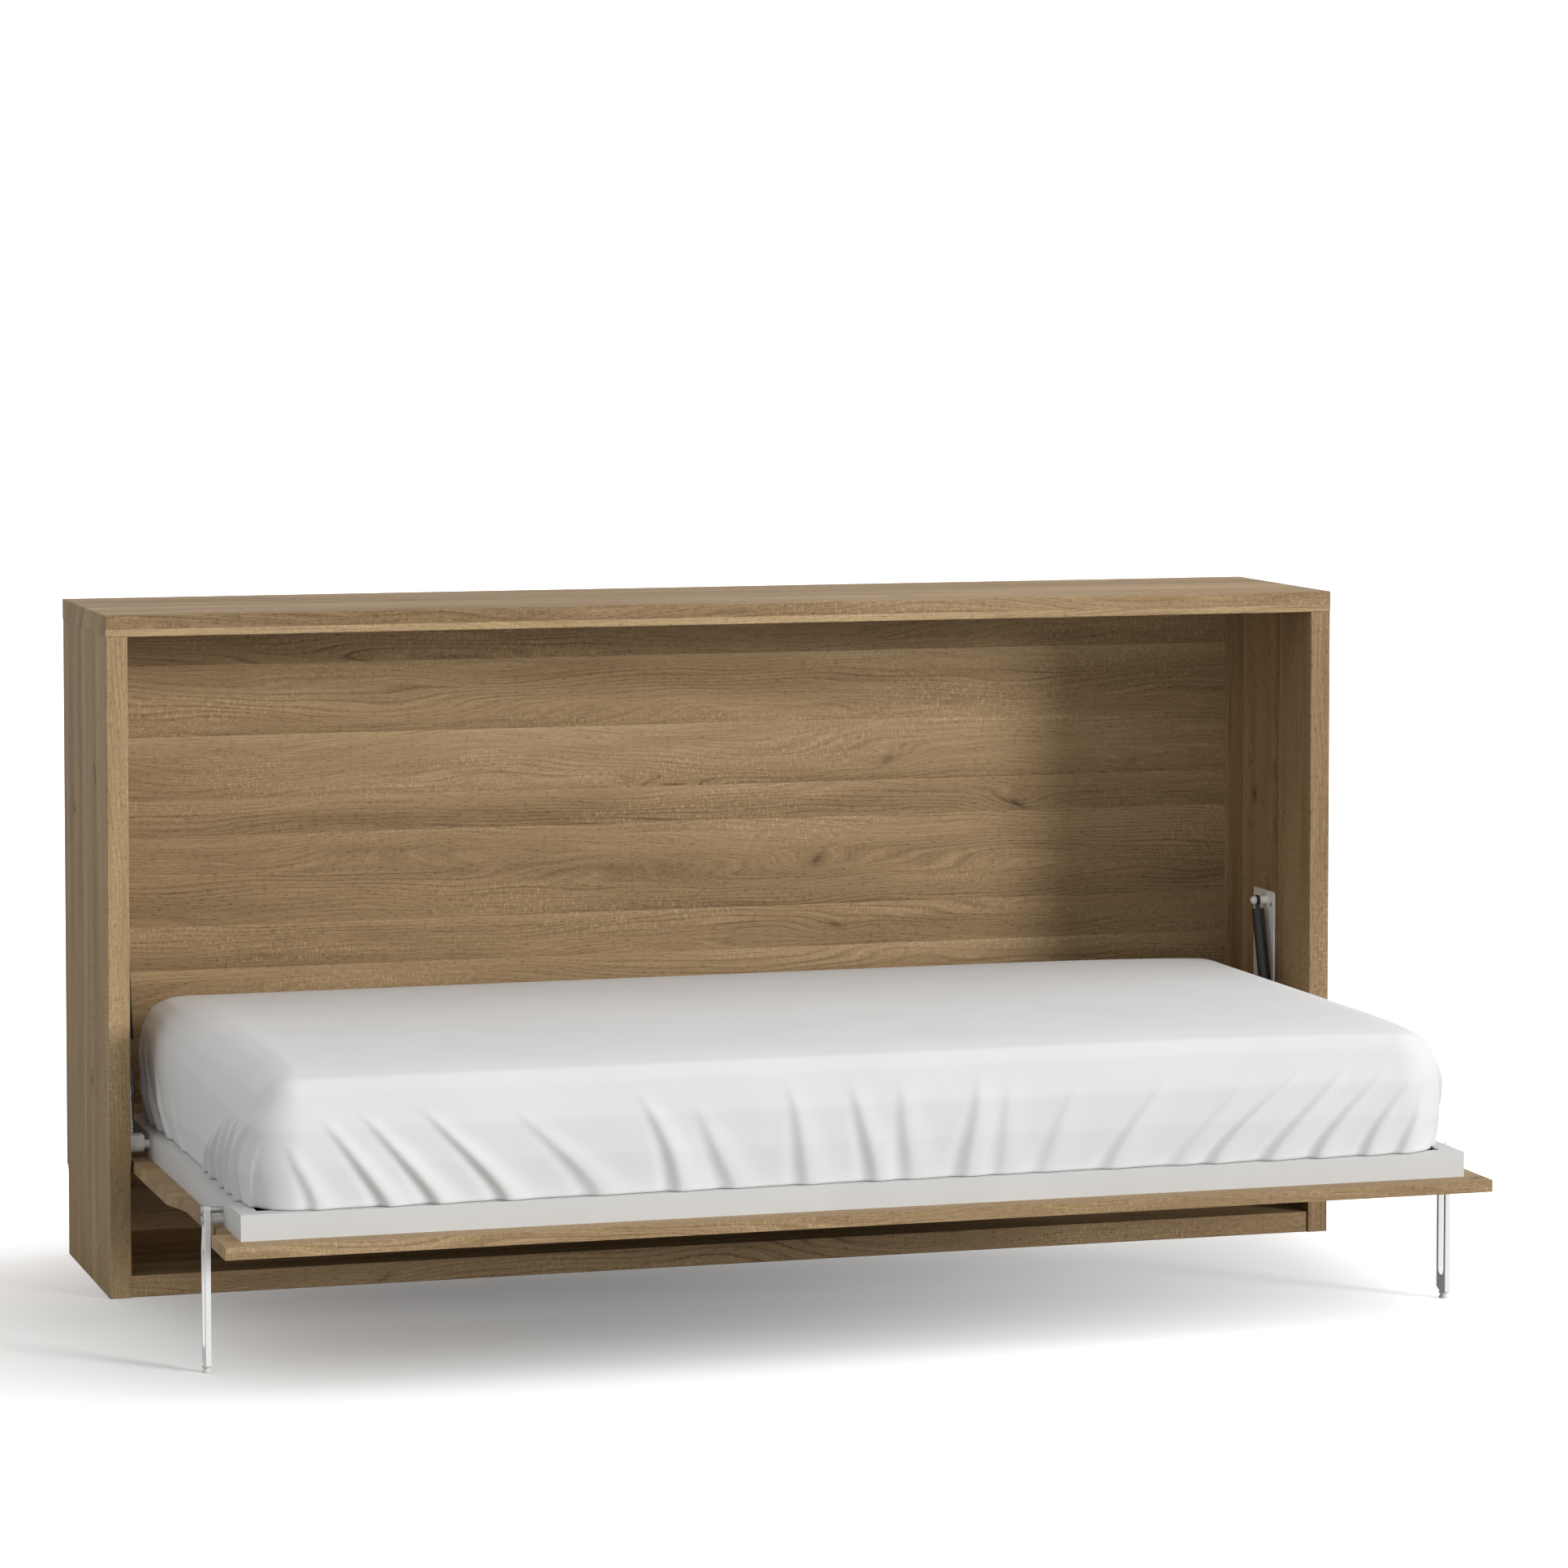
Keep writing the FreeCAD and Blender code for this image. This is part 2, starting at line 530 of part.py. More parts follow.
def front_panel():
    """Front of the closed cabinet and underside of the bed, notched at both ends for the legs."""
    notch_x = PANEL_X - NOTCH_DEPTH
    ahead = LEG_PIVOT_Y - NOTCH_AHEAD
    straight_end = LEG_PIVOT_Y + LEG_REACH + NOTCH_END_GAP
    notch_end = straight_end + NOTCH_RUN
    right = [(PANEL_X, PANEL_FRONT_Y, EDGE_ROUND), (PANEL_X, ahead, EDGE_ROUND), (notch_x, ahead, EDGE_ROUND),
             (notch_x, straight_end, NOTCH_ROUND), (PANEL_X, notch_end, NOTCH_ROUND),
             (PANEL_X, PANEL_REAR_Y, EDGE_ROUND)]
    left = [(-x, y, radius) for x, y, radius in reversed(right)]
    board = plate(right + left, lambda x, y: V(x, y, PANEL_BOTTOM_Z), V(0, 0, PANEL_THICKNESS))
    return board.cut(panel_screws())


def frame_rails():
    """The four mitred tubes of the frame: front, rear, left and right."""
    low, high = PANEL_TOP_Z, RAIL_TOP_Z
    outer = [V(-FRAME_X, FRAME_FRONT_Y, low), V(FRAME_X, FRAME_FRONT_Y, low),
             V(FRAME_X, FRAME_REAR_Y, low), V(-FRAME_X, FRAME_REAR_Y, low)]
    middle = V(0, BED_MIDDLE_Y, low)

    def inset(point, distance, z):
        step_x = math.copysign(distance, middle.x - point.x)
        step_y = math.copysign(distance, middle.y - point.y)
        return V(point.x + step_x, point.y + step_y, z)

    def mitred(start, end, near, far, base, height):
        points = [inset(start, near, base), inset(end, near, base),
                  inset(end, far, base), inset(start, far, base)]
        return Part.Face(Part.makePolygon(points + points[:1])).extrude(V(0, 0, height))

    rails = []
    for start, end in ((0, 1), (2, 3), (3, 0), (1, 2)):
        tube = mitred(outer[start], outer[end], 0, RAIL_WIDTH, low, high - low)
        hollow = mitred(outer[start], outer[end], RAIL_WALL, RAIL_WIDTH - RAIL_WALL, low + RAIL_WALL,
                        high - low - 2 * RAIL_WALL)
        rails.append(tube.cut([hollow, pivot_pin(), mirrored(pivot_pin())]))
    return rails


def cross_bar_places():
    """X of the two flat bars under the slats, at the thirds of the frame."""
    return (-FRAME_INNER_X / 3, FRAME_INNER_X / 3)


def tab_places():
    """X and Y of the middles of the tabs along the front and rear rails."""
    rows = (SLAT_FRONT_Y + TAB_WIDTH / 2, SLAT_REAR_Y - TAB_WIDTH / 2)
    return [(x, y) for y in rows for x in spread(TABS_PER_RAIL, -FRAME_INNER_X, FRAME_INNER_X)]


def panel_screws():
    """Pan-head screws through the tabs and the cross bars into the panel."""
    seats = [(x, y, TAB_STEEL) for x, y in tab_places()]
    for x in cross_bar_places():
        seats += [(x, y, CROSS_BAR_STEEL) for y in spread(2, SLAT_FRONT_Y, SLAT_REAR_Y)]
    screws = []
    for x, y, steel in seats:
        seat = V(x, y, PANEL_TOP_Z + steel)
        screws.append(pan_head_screw(seat, V(0, 0, -1), steel + PANEL_SCREW_BITE))
    return screws


def panel_tabs():
    """Flat tabs welded to the inner faces of the front and rear rails."""
    tabs = []
    for x, y in tab_places():
        tab = box((x - TAB_LENGTH / 2, x + TAB_LENGTH / 2), (y - TAB_WIDTH / 2, y + TAB_WIDTH / 2),
                  (PANEL_TOP_Z, PANEL_TOP_Z + TAB_STEEL))
        tabs.append(tab.cut(panel_screws()))
    return tabs


def cross_bars():
    """Flat bars from the front rail to the rear rail."""
    bars = []
    for x in cross_bar_places():
        flat = box((x - CROSS_BAR_WIDTH / 2, x + CROSS_BAR_WIDTH / 2), (SLAT_FRONT_Y, SLAT_REAR_Y),
                   (PANEL_TOP_Z, PANEL_TOP_Z + CROSS_BAR_STEEL))
        bars.append(flat.cut(panel_screws()))
    return bars


def slat_places():
    """X of the middles of the slats."""
    return spread(SLAT_COUNT, -FRAME_INNER_X, FRAME_INNER_X)


def slats():
    """Beech slats, arched upwards along their length."""
    front = SLAT_FRONT_Y + CAP_WALL + CAP_PLAY
    rear = SLAT_REAR_Y - CAP_WALL - CAP_PLAY
    start = -SLAT_WIDTH / 2

    def arch(z):
        crown = V(start, BED_MIDDLE_Y, z + SLAT_CROWN)
        return Part.Arc(V(start, front, z), crown, V(start, rear, z)).toShape()

    upper = SLAT_Z + SLAT_THICKNESS
    ends = [Part.LineSegment(V(start, y, SLAT_Z), V(start, y, upper)).toShape() for y in (front, rear)]
    outer = Part.Wire(Part.__sortEdges__([arch(SLAT_Z), arch(upper)] + ends))
    slat = Part.Face(outer).extrude(V(SLAT_WIDTH, 0, 0))
    return [slat.translated(V(x, 0, 0)) for x in slat_places()]


def slat_holders():
    """Plastic caps that hold both ends of every slat on the rails."""
    half = SLAT_WIDTH / 2 + CAP_PLAY
    low = SLAT_Z - CAP_PLAY
    high = SLAT_Z + SLAT_THICKNESS + CAP_SLOPE_PLAY
    shell = box((-half - CAP_WALL, half + CAP_WALL), (0, CAP_DEPTH), (low - CAP_WALL, high + CAP_WALL))
    pocket = box((-half, half), (CAP_WALL, CAP_DEPTH), (low, high))
    cap = shell.cut(pocket)
    facing = cap.mirror(V(0, 0, 0), V(0, 1, 0))
    holders = []
    for x in slat_places():
        holders.append(cap.translated(V(x, SLAT_FRONT_Y, 0)))
        holders.append(facing.translated(V(x, SLAT_REAR_Y, 0)))
    return holders


def mattress():
    """Crowned mattress: sides drawn in at the frame and at the top edge, full in between."""
    wires = []
    for share, stand in MATTRESS_LEVELS:
        half_x = MATTRESS_LENGTH / 2 + stand
        half_y = MATTRESS_WIDTH / 2 + stand
        z = MATTRESS_Z + share * MATTRESS_HEIGHT
        low, high = BED_MIDDLE_Y - half_y, BED_MIDDLE_Y + half_y
        corners = [(-half_x, low, MATTRESS_CORNER), (half_x, low, MATTRESS_CORNER),
                   (half_x, high, MATTRESS_CORNER), (-half_x, high, MATTRESS_CORNER)]
        wires.append(outline(corners, lambda x, y: V(x, y, z)))
    return Part.makeLoft(wires, True, True)


def mattress_stop():
    """Left lug on top of the end rail, near its rear end."""
    middle_x = -FRAME_X + RAIL_WIDTH / 2
    rear = FRAME_REAR_Y - STOP_FROM_REAR
    corners = [(middle_x - STOP_WIDTH / 2, RAIL_TOP_Z, 0), (middle_x + STOP_WIDTH / 2, RAIL_TOP_Z, 0),
               (middle_x + STOP_WIDTH / 2, RAIL_TOP_Z + STOP_HEIGHT, STOP_WIDTH / 4),
               (middle_x - STOP_WIDTH / 2, RAIL_TOP_Z + STOP_HEIGHT, STOP_WIDTH / 4)]
    return plate(corners, lambda x, z: V(x, rear - STOP_DEPTH, z), V(0, STOP_DEPTH, 0))


def leg_point(x, behind, above):
    """Point by its place from the left leg's pivot axis."""
    return V(x, LEG_PIVOT_Y + behind, LEG_PIVOT_Z + above)


def leg_bolt():
    """Left pivot bolt, screwed through the leg into the spacer."""
    end = LEG_INNER + LEG_SIDE_PLAY + LEG_BOLT_GRIP
    crown = LEG_HEAD_FACE - LEG_BOLT_HEAD
    profile = [(crown, 0), (crown, LEG_BOLT_CROWN_RADIUS),
               (crown + LEG_BOLT_HEAD_CHAMFER, LEG_BOLT_HEAD_RADIUS),
               (LEG_HEAD_FACE, LEG_BOLT_HEAD_RADIUS), (LEG_HEAD_FACE, LEG_BOLT_RADIUS),
               (end, LEG_BOLT_RADIUS), (end, 0)]
    return turned(profile, leg_point(from_wall(0), 0, 0), V(1, 0, 0))


def leg_spacer():
    """Left threaded spacer, welded to the end rail."""
    start = leg_point(from_wall(LEG_INNER + LEG_SIDE_PLAY), 0, 0)
    return bar(start, leg_point(from_wall(HINGE_SPACE), 0, 0), SPACER_RADIUS).cut(leg_bolt())


def leg_stop():
    """Left stop pin, which the head of the standing leg leans on."""
    crown = LEG_HEAD_FACE - LEG_BOLT_HEAD
    profile = [(crown, 0), (crown, LEG_STOP_CROWN_RADIUS),
               (crown + LEG_BOLT_HEAD_CHAMFER, LEG_STOP_HEAD_RADIUS),
               (LEG_HEAD_FACE, LEG_STOP_HEAD_RADIUS), (LEG_HEAD_FACE, LEG_STOP_RADIUS),
               (HINGE_SPACE, LEG_STOP_RADIUS), (HINGE_SPACE, 0)]
    return turned(profile, leg_point(from_wall(0), LEG_STOP_BEHIND, LEG_STOP_RISE), V(1, 0, 0))


def leg():
    """Left leg: a slotted plate whose rear corner is cut away for the stop pin."""
    sole = FOOT_HEIGHT - LEG_PIVOT_Z
    nose = LEG_STOP_BEHIND - LEG_STOP_RADIUS - LEG_STOP_PLAY
    corners = [(-LEG_FRONT, sole, LEG_CORNER), (LEG_REAR - LEG_CHAMFER_RUN, sole, 0),
               (LEG_REAR, sole + LEG_CHAMFER_RISE, 0), (LEG_REAR, -LEG_WAIST_END, LEG_WAIST_ROUND),
               (LEG_NECK_RADIUS, -LEG_NECK_END, LEG_WAIST_ROUND),
               (LEG_NECK_RADIUS, LEG_NECK_RADIUS, LEG_NECK_RADIUS), (nose, LEG_NECK_RADIUS, 0),
               (nose, LEG_TOP, LEG_CORNER), (-LEG_FRONT, LEG_TOP, LEG_CORNER)]
    start = from_wall(LEG_WALL_GAP)
    width = V(LEG_THICKNESS, 0, 0)
    body = plate(corners, lambda behind, above: leg_point(start, behind, above), width)
    middle = (LEG_REAR - LEG_FRONT) / 2
    front, rear = middle - LEG_SLOT_WIDTH / 2, middle + LEG_SLOT_WIDTH / 2
    foot_end = LEG_SLOT_FOOT - LEG_PIVOT_Z
    slot = plate([(front, foot_end, LEG_SLOT_WIDTH / 2), (rear, foot_end, LEG_SLOT_WIDTH / 2),
                  (rear, -LEG_SLOT_HEAD, LEG_SLOT_WIDTH / 2), (front, -LEG_SLOT_HEAD, LEG_SLOT_WIDTH / 2)],
                 lambda behind, above: leg_point(start, behind, above), width)
    bore = bar(leg_point(start, 0, 0), leg_point(start + LEG_THICKNESS, 0, 0), LEG_BUSH_RADIUS)
    return body.cut([slot, bore, leg_foot()])


def leg_bush():
    """Left plain bush between the leg and its bolt."""
    start = leg_point(from_wall(LEG_WALL_GAP), 0, 0)
    end = leg_point(from_wall(LEG_INNER), 0, 0)
    return bar(start, end, LEG_BUSH_RADIUS).cut(bar(start, end, LEG_BOLT_RADIUS + RUNNING_CLEARANCE))


def leg_foot():
    """Left glide, screwed into the leg ahead of its pivot, so that load keeps the leg on its stop."""
    profile = [(0, 0), (0, FOOT_RADIUS), (FOOT_PAD, FOOT_RADIUS), (FOOT_WAIST_LOW, FOOT_WAIST_RADIUS),
               (FOOT_WAIST_HIGH, FOOT_WAIST_RADIUS), (FOOT_HEIGHT - FOOT_COLLAR, FOOT_RADIUS),
               (FOOT_HEIGHT, FOOT_RADIUS), (FOOT_HEIGHT, FOOT_STEM_RADIUS),
               (FOOT_HEIGHT + FOOT_STEM, FOOT_STEM_RADIUS), (FOOT_HEIGHT + FOOT_STEM, 0)]
    middle_x = from_wall(LEG_WALL_GAP + LEG_THICKNESS / 2)
    return turned(profile, V(middle_x, LEG_PIVOT_Y - FOOT_LEAD, 0), V(0, 0, 1))


def strut_point(distance):
    """Point on the left strut's axis, by its distance below the stud."""
    return V(from_wall(STRUT_WALL_GAP), STUD_Y, STUD_HEIGHT) + STRUT_WAY * distance


def across(point, start, end, radius):
    """Bar along X through a point, between two distances from it."""
    return bar(point + V(start, 0, 0), point + V(end, 0, 0), radius)


def strut_eye():
    """Left upper eye with its stem."""
    top = strut_point(0)
    half = EYE_THICKNESS / 2
    stem_start = strut_point(STUD_COLLAR_RADIUS + EYE_SIDE_PLAY)
    stem = bar(stem_start, strut_point(TUBE_START + TUBE_PLUG), EYE_STEM_RADIUS)
    eye = one([across(top, -half, half, EYE_RADIUS), stem])
    return eye.cut(across(top, -half, half, STUD_RADIUS + RUNNING_CLEARANCE))


def strut_tube():
    """Left pressure tube, closed above by the plug that holds the eye's stem."""
    tube = bar(strut_point(TUBE_START), strut_point(TUBE_END), TUBE_RADIUS)
    bore = bar(strut_point(TUBE_START + TUBE_PLUG), strut_point(TUBE_END), TUBE_BORE)
    return tube.cut([bore, strut_eye()])


def strut_cover():
    """Left black sleeve over the upper part of the tube."""
    bore_radius = TUBE_RADIUS + COVER_PLAY
    end = strut_point(COVER_END)
    sleeve = bar(strut_point(COVER_START), end, bore_radius + COVER_WALL)
    return sleeve.cut([bar(strut_point(TUBE_START), end, bore_radius), strut_eye()])


def strut_gland():
    """Left rod guide in the lower end of the tube."""
    start, end = strut_point(TUBE_END - GLAND_LENGTH), strut_point(TUBE_END)
    return bar(start, end, TUBE_BORE).cut(bar(start, end, ROD_RADIUS + RUNNING_CLEARANCE))


def strut_rod():
    """Left rod with the piston at its upper end."""
    piston_end = TUBE_END - GLAND_LENGTH - STRUT_STROKE - PISTON_ROOM
    piston_start = strut_point(piston_end - PISTON_LENGTH)
    piston = bar(piston_start, strut_point(piston_end), TUBE_BORE - RUNNING_CLEARANCE)
    return one([piston, bar(strut_point(piston_end), strut_point(STRUT_RUN - ROD_SEAT), ROD_RADIUS)])


def strut_rod_eye():
    """Left lower eye, screwed on the rod."""
    foot = strut_point(STRUT_RUN)
    half = ROD_EYE_THICKNESS / 2
    shank_end = strut_point(STRUT_RUN - ROD_EYE_SHANK_END)
    shank = bar(strut_point(STRUT_RUN - ROD_EYE_SHANK), shank_end, ROD_EYE_SHANK_RADIUS)
    eye = one([across(foot, -half, half, ROD_EYE_RADIUS), shank])
    return eye.cut([strut_rod(), strut_lower_pin()])


def strut_lower_pin():
    """Left lower pin: head, shank and the collar that runs on the frame's boss."""
    half = ROD_EYE_THICKNESS / 2
    head = -half - PIN_HEAD_LENGTH
    profile = [(head, 0), (head, PIN_COLLAR_RADIUS), (-half, PIN_COLLAR_RADIUS),
               (-half, STUD_RADIUS), (half, STUD_RADIUS), (half, PIN_COLLAR_RADIUS),
               (half + PIN_COLLAR_LENGTH, PIN_COLLAR_RADIUS), (half + PIN_COLLAR_LENGTH, 0)]
    return turned(profile, strut_point(STRUT_RUN), V(1, 0, 0))


def strut_boss():
    """Left boss on the end rail, behind the pivot."""
    start = STRUT_WALL_GAP + ROD_EYE_THICKNESS / 2 + PIN_COLLAR_LENGTH + BOSS_GAP
    foot = V(-INNER_X, STRUT_FOOT_Y, PIVOT_HEIGHT)
    return across(foot, start, HINGE_SPACE, BOSS_RADIUS)


def save(name, shape):
    """Write one node."""
    shape.exportStep(os.path.join("parts", name + ".step"))


def save_group(name, shapes):
    """Write equal pieces of one body as one node of separate solids."""
    save(name, Part.makeCompound(shapes))


def save_pair(name, shape):
    """Write a piece and its mirror image as two nodes."""
    save(name + "_left", shape)
    save(name + "_right", mirrored(shape))


def main():
    os.makedirs("parts", exist_ok=True)
    save_pair("side_panel", side_panel())
    save("top_board", top_board())
    save("bottom_board", bottom_board())
    save("back_panel", back_panel())
    save("wall_rail", wall_rail())
    save_group("dowels", dowels())
    save_group("wall_brackets", wall_brackets())
    save_group("bracket_screws", bracket_screws())
    save_pair("hinge_plate", hinge_plate())
    screws = hinge_plate_screws()
    save_group("hinge_plate_screws", screws + [mirrored(screw) for screw in screws])
    save_pair("pivot_block", pivot_block())
    save_group("pivot_bushes", [pivot_bush(), mirrored(pivot_bush())])
    save_pair("strut_stud", strut_stud())

    save("front_panel", front_panel())
    for name, rail in zip(("front", "rear", "left", "right"), frame_rails()):
        save("frame_" + name + "_rail", rail)
    save_group("cross_bars", cross_bars())
    save_group("panel_tabs", panel_tabs())
    save_group("panel_screws", panel_screws())
    save_group("slats", slats())
    save_group("slat_holders", slat_holders())
    save("mattress", mattress())
    save_group("mattress_stops", [mattress_stop(), mirrored(mattress_stop())])
    save_pair("pivot_pin", pivot_pin())
    save_group("strut_bosses", [strut_boss(), mirrored(strut_boss())])
    save_group("leg_spacers", [leg_spacer(), mirrored(leg_spacer())])
    save_group("leg_bolts", [leg_bolt(), mirrored(leg_bolt())])
    save_group("leg_stops", [leg_stop(), mirrored(leg_stop())])

    for name, piece in (("leg", leg), ("leg_bush", leg_bush), ("leg_foot", leg_foot)):
        save_pair(name, piece())
    for name, piece in (("strut_eye", strut_eye), ("strut_cover", strut_cover), ("strut_tube", strut_tube),
                        ("strut_gland", strut_gland), ("strut_rod", strut_rod),
                        ("strut_rod_eye", strut_rod_eye), ("strut_lower_pin", strut_lower_pin)):
        save_pair(name, piece())


if __name__ == "__main__":
    main()
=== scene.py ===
# %% [markdown]
# # A bed that folds sideways into a low oak cabinet
# The fixed frame comes from CAD: boards, tubes, hinges, legs and gas struts are already there, at their
# real size, in metres. This lesson gives every surface its finish, makes the mattress and its fitted sheet
# as soft goods, and sets up a plain pale studio. Each step says what the piece is on the real bed, how it
# could be made, and why this way was chosen.

# %% Load the frame
import math

import bpy
import numpy as np
from mathutils import Matrix, Vector


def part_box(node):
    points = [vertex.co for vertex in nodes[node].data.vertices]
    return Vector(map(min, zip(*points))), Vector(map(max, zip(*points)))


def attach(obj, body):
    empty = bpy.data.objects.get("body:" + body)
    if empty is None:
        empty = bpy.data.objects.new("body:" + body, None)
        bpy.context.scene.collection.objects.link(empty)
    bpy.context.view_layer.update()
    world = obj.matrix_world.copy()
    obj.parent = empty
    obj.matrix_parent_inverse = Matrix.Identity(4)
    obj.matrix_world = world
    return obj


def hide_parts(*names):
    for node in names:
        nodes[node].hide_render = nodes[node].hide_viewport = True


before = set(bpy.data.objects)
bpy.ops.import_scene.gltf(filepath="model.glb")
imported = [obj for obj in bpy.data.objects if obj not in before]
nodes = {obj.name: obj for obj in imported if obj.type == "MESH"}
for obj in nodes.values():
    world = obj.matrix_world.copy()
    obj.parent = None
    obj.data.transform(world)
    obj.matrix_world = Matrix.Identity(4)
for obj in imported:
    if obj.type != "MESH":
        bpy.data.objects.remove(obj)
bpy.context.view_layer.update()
scene = bpy.context.scene
bpy.ops.object.select_all(action="DESELECT")

# %% [markdown]
# ## The camera
# The picture was taken with a long lens from the left and a little above. The upright edges of the cabinet
# stay parallel there, as with a shift lens, so the camera has part of that shift and looks down only a few
# degrees.

# %% Camera
LENS_MM = 124.869
SHIFT = -0.15
LOOK_DOWN = math.radians(3.2662)
LOOK_RIGHT = 0.29041
camera_data = bpy.data.cameras.new("room_camera")
camera_data.lens = LENS_MM
camera_data.sensor_width = 36.0
camera_data.shift_y = SHIFT
camera = bpy.data.objects.new("room_camera", camera_data)
camera.location = (-2.5139, -8.8916, 1.716)
camera.rotation_euler = (math.pi / 2 - LOOK_DOWN, 0.0, -LOOK_RIGHT)
scene.collection.objects.link(camera)
scene.camera = camera
print("camera at", [round(v, 3) for v in camera.location])

# %% [markdown]
# ## Two small helpers for materials
# Colours are written as the hex values that a paint chart would give, and one function turns them to the
# linear values that the renderer works in. The other adds one node to a node tree, sets it and links it.


# %% Colour and node helpers
def linear(code):
    """Linear RGBA of an sRGB hex colour."""
    parts = [int(code[i:i + 2], 16) / 255 for i in (1, 3, 5)]
    return tuple(p / 12.92 if p <= 0.04045 else ((p + 0.055) / 1.055) ** 2.4 for p in parts) + (1.0,)


def add(tree, kind, inputs=None, **settings):
    """Add a node; each input is a value, or a socket to link from."""
    made = tree.nodes.new(kind)
    for key, value in settings.items():
        setattr(made, key, value)
    for key, value in (inputs or {}).items():
        if isinstance(value, bpy.types.NodeSocket):
            tree.links.new(value, made.inputs[key])
        else:
            made.inputs[key].default_value = value
    return made


def new_material(name):
    """Empty node material; returns it with its tree and its output node."""
    material = bpy.data.materials.new(name)
    material.use_nodes = True
    material.node_tree.nodes.clear()
    return material, material.node_tree, material.node_tree.nodes.new("ShaderNodeOutputMaterial")


print("helpers ready, mid grey is", round(linear("#808080")[0], 3))

# %% [markdown]
# ## Studio light
# The room is a white sweep. A soft key stands far to the right and in front, low enough to reach under the
# top board, so the right side board throws a soft shadow on the back panel. A large soft box hangs over the
# right of the bed, and the white of the room fills the rest. That white looks bright to the camera and
# lights the bed less strongly, which keeps the shadow side of the white sheet readable.

# %% World and lights
ROOM_LIGHT = 0.68
KEY_STRENGTH = 2.1
KEY_AZIMUTH = math.radians(43)
KEY_ELEVATION = math.radians(10)
KEY_SOFTNESS = math.radians(14)
BOX_PLACE = Vector((1.7, -0.7, 3.6))
BOX_AIM = Vector((0.3, -0.55, 0.4))
BOX_SIZE = 2.6
BOX_POWER = 28.0
scene.view_settings.view_transform = "Standard"
world = bpy.data.worlds.new("white_sweep")
world.use_nodes = True
tree = world.node_tree
tree.nodes.clear()
seen = add(tree, "ShaderNodeLightPath").outputs["Is Camera Ray"]
dim = add(tree, "ShaderNodeBackground", {"Color": linear("#ffffff"), "Strength": ROOM_LIGHT})
white = add(tree, "ShaderNodeBackground", {"Color": linear("#ffffff"), "Strength": 1.0})
both = add(tree, "ShaderNodeMixShader", {0: seen, 1: dim.outputs[0], 2: white.outputs[0]})
add(tree, "ShaderNodeOutputWorld", {"Surface": both.outputs[0]})
scene.world = world


def hang_light(light, place, way):
    """Put a light in the scene, shining along way."""
    lamp = bpy.data.objects.new(light.name, light)
    lamp.location = place
    lamp.rotation_mode = "QUATERNION"
    lamp.rotation_quaternion = way.to_track_quat("-Z", "Y")
    scene.collection.objects.link(lamp)


key = bpy.data.lights.new("soft_key", "SUN")
key.energy = KEY_STRENGTH
key.angle = KEY_SOFTNESS
towards = Vector((math.sin(KEY_AZIMUTH) * math.cos(KEY_ELEVATION),
                  -math.cos(KEY_AZIMUTH) * math.cos(KEY_ELEVATION), math.sin(KEY_ELEVATION)))
hang_light(key, towards * 6, -towards)
box = bpy.data.lights.new("overhead_soft_box", "AREA")
box.shape = "SQUARE"
box.size = BOX_SIZE
box.energy = BOX_POWER
hang_light(box, BOX_PLACE, BOX_AIM - BOX_PLACE)
print("key light comes from", [round(v, 2) for v in towards])

# %% [markdown]
# ## The floor
# A pale matt floor that runs into the white of the sweep. The floor that the camera sees glows faintly
# under and round the bed and more with distance: the low glow near the bed paints its soft shadow, and a
# warmer grey there paints the shadow's tint. Light that bounces up to the bed comes from a second, greyer
# plane half a millimetre below, which the camera doesn't see. It is dark under the bed and pale further
# off, which paints shade under the bed, so the underside of the bed isn't lit too strongly. Both are stage
# pieces, not part of the object.

# %% Floor
FLOOR_SIZE = 60.0


def lay_floor(name, height, centre, squeeze, reach, colours, glows, seen):
    """Floor plane with a colour and a glow near a centre and far away; squeeze widens that along the bed."""
    bpy.ops.mesh.primitive_plane_add(size=FLOOR_SIZE, location=(0, 0, height))
    plane = bpy.context.active_object
    plane.name = name
    material, tree, out = new_material(name + "_paint")
    place = add(tree, "ShaderNodeTexCoord").outputs["Object"]
    back_to_centre = (-squeeze * centre[0], -centre[1], 0.0)
    place = add(tree, "ShaderNodeMapping", {"Vector": place, "Location": back_to_centre,
                                            "Scale": (squeeze, 1.0, 1.0)}).outputs[0]
    far = add(tree, "ShaderNodeVectorMath", {0: place}, operation="LENGTH").outputs["Value"]
    share = add(tree, "ShaderNodeMapRange", {0: far, 1: reach[0], 2: reach[1]},
                interpolation_type="SMOOTHSTEP").outputs[0]
    # The glow is low near the centre and full far off, and the colour warmer grey near it: painted shadow
    # round the bed
    lift = add(tree, "ShaderNodeMapRange", {0: share, 3: glows[0], 4: glows[1]}).outputs[0]
    paint = add(tree, "ShaderNodeMix", {0: share, 6: linear(colours[0]), 7: linear(colours[1])},
                data_type="RGBA").outputs[2]
    matt = add(tree, "ShaderNodeBsdfDiffuse", {"Color": paint, "Roughness": 0.4})
    light = add(tree, "ShaderNodeEmission", {"Color": linear("#ffffff"), "Strength": lift})
    total = add(tree, "ShaderNodeAddShader", {0: matt.outputs[0], 1: light.outputs[0]})
    tree.links.new(total.outputs[0], out.inputs["Surface"])
    plane.data.materials.append(material)
    plane.visible_camera = seen
    plane.visible_diffuse = not seen
    plane.visible_glossy = not seen
    plane.visible_shadow = not seen


# Seen floor: low glow and warmer grey round the bed paint its shadow; bounce floor: dark middle paints shade
# under the bed
lay_floor("studio_floor", -0.0005, (-0.61, -0.5), 0.506, (0.1, 1.39),
          ("#e4e2e0", "#e6e6e6"), (0.07, 0.86), True)
lay_floor("studio_floor_bounce", -0.0010, (0.0, -0.3), 1.0, (0.4, 1.4),
          ("#424140", "#b6b6b4"), (0.0, 0.0), False)
print("floor", FLOOR_SIZE, "m across")

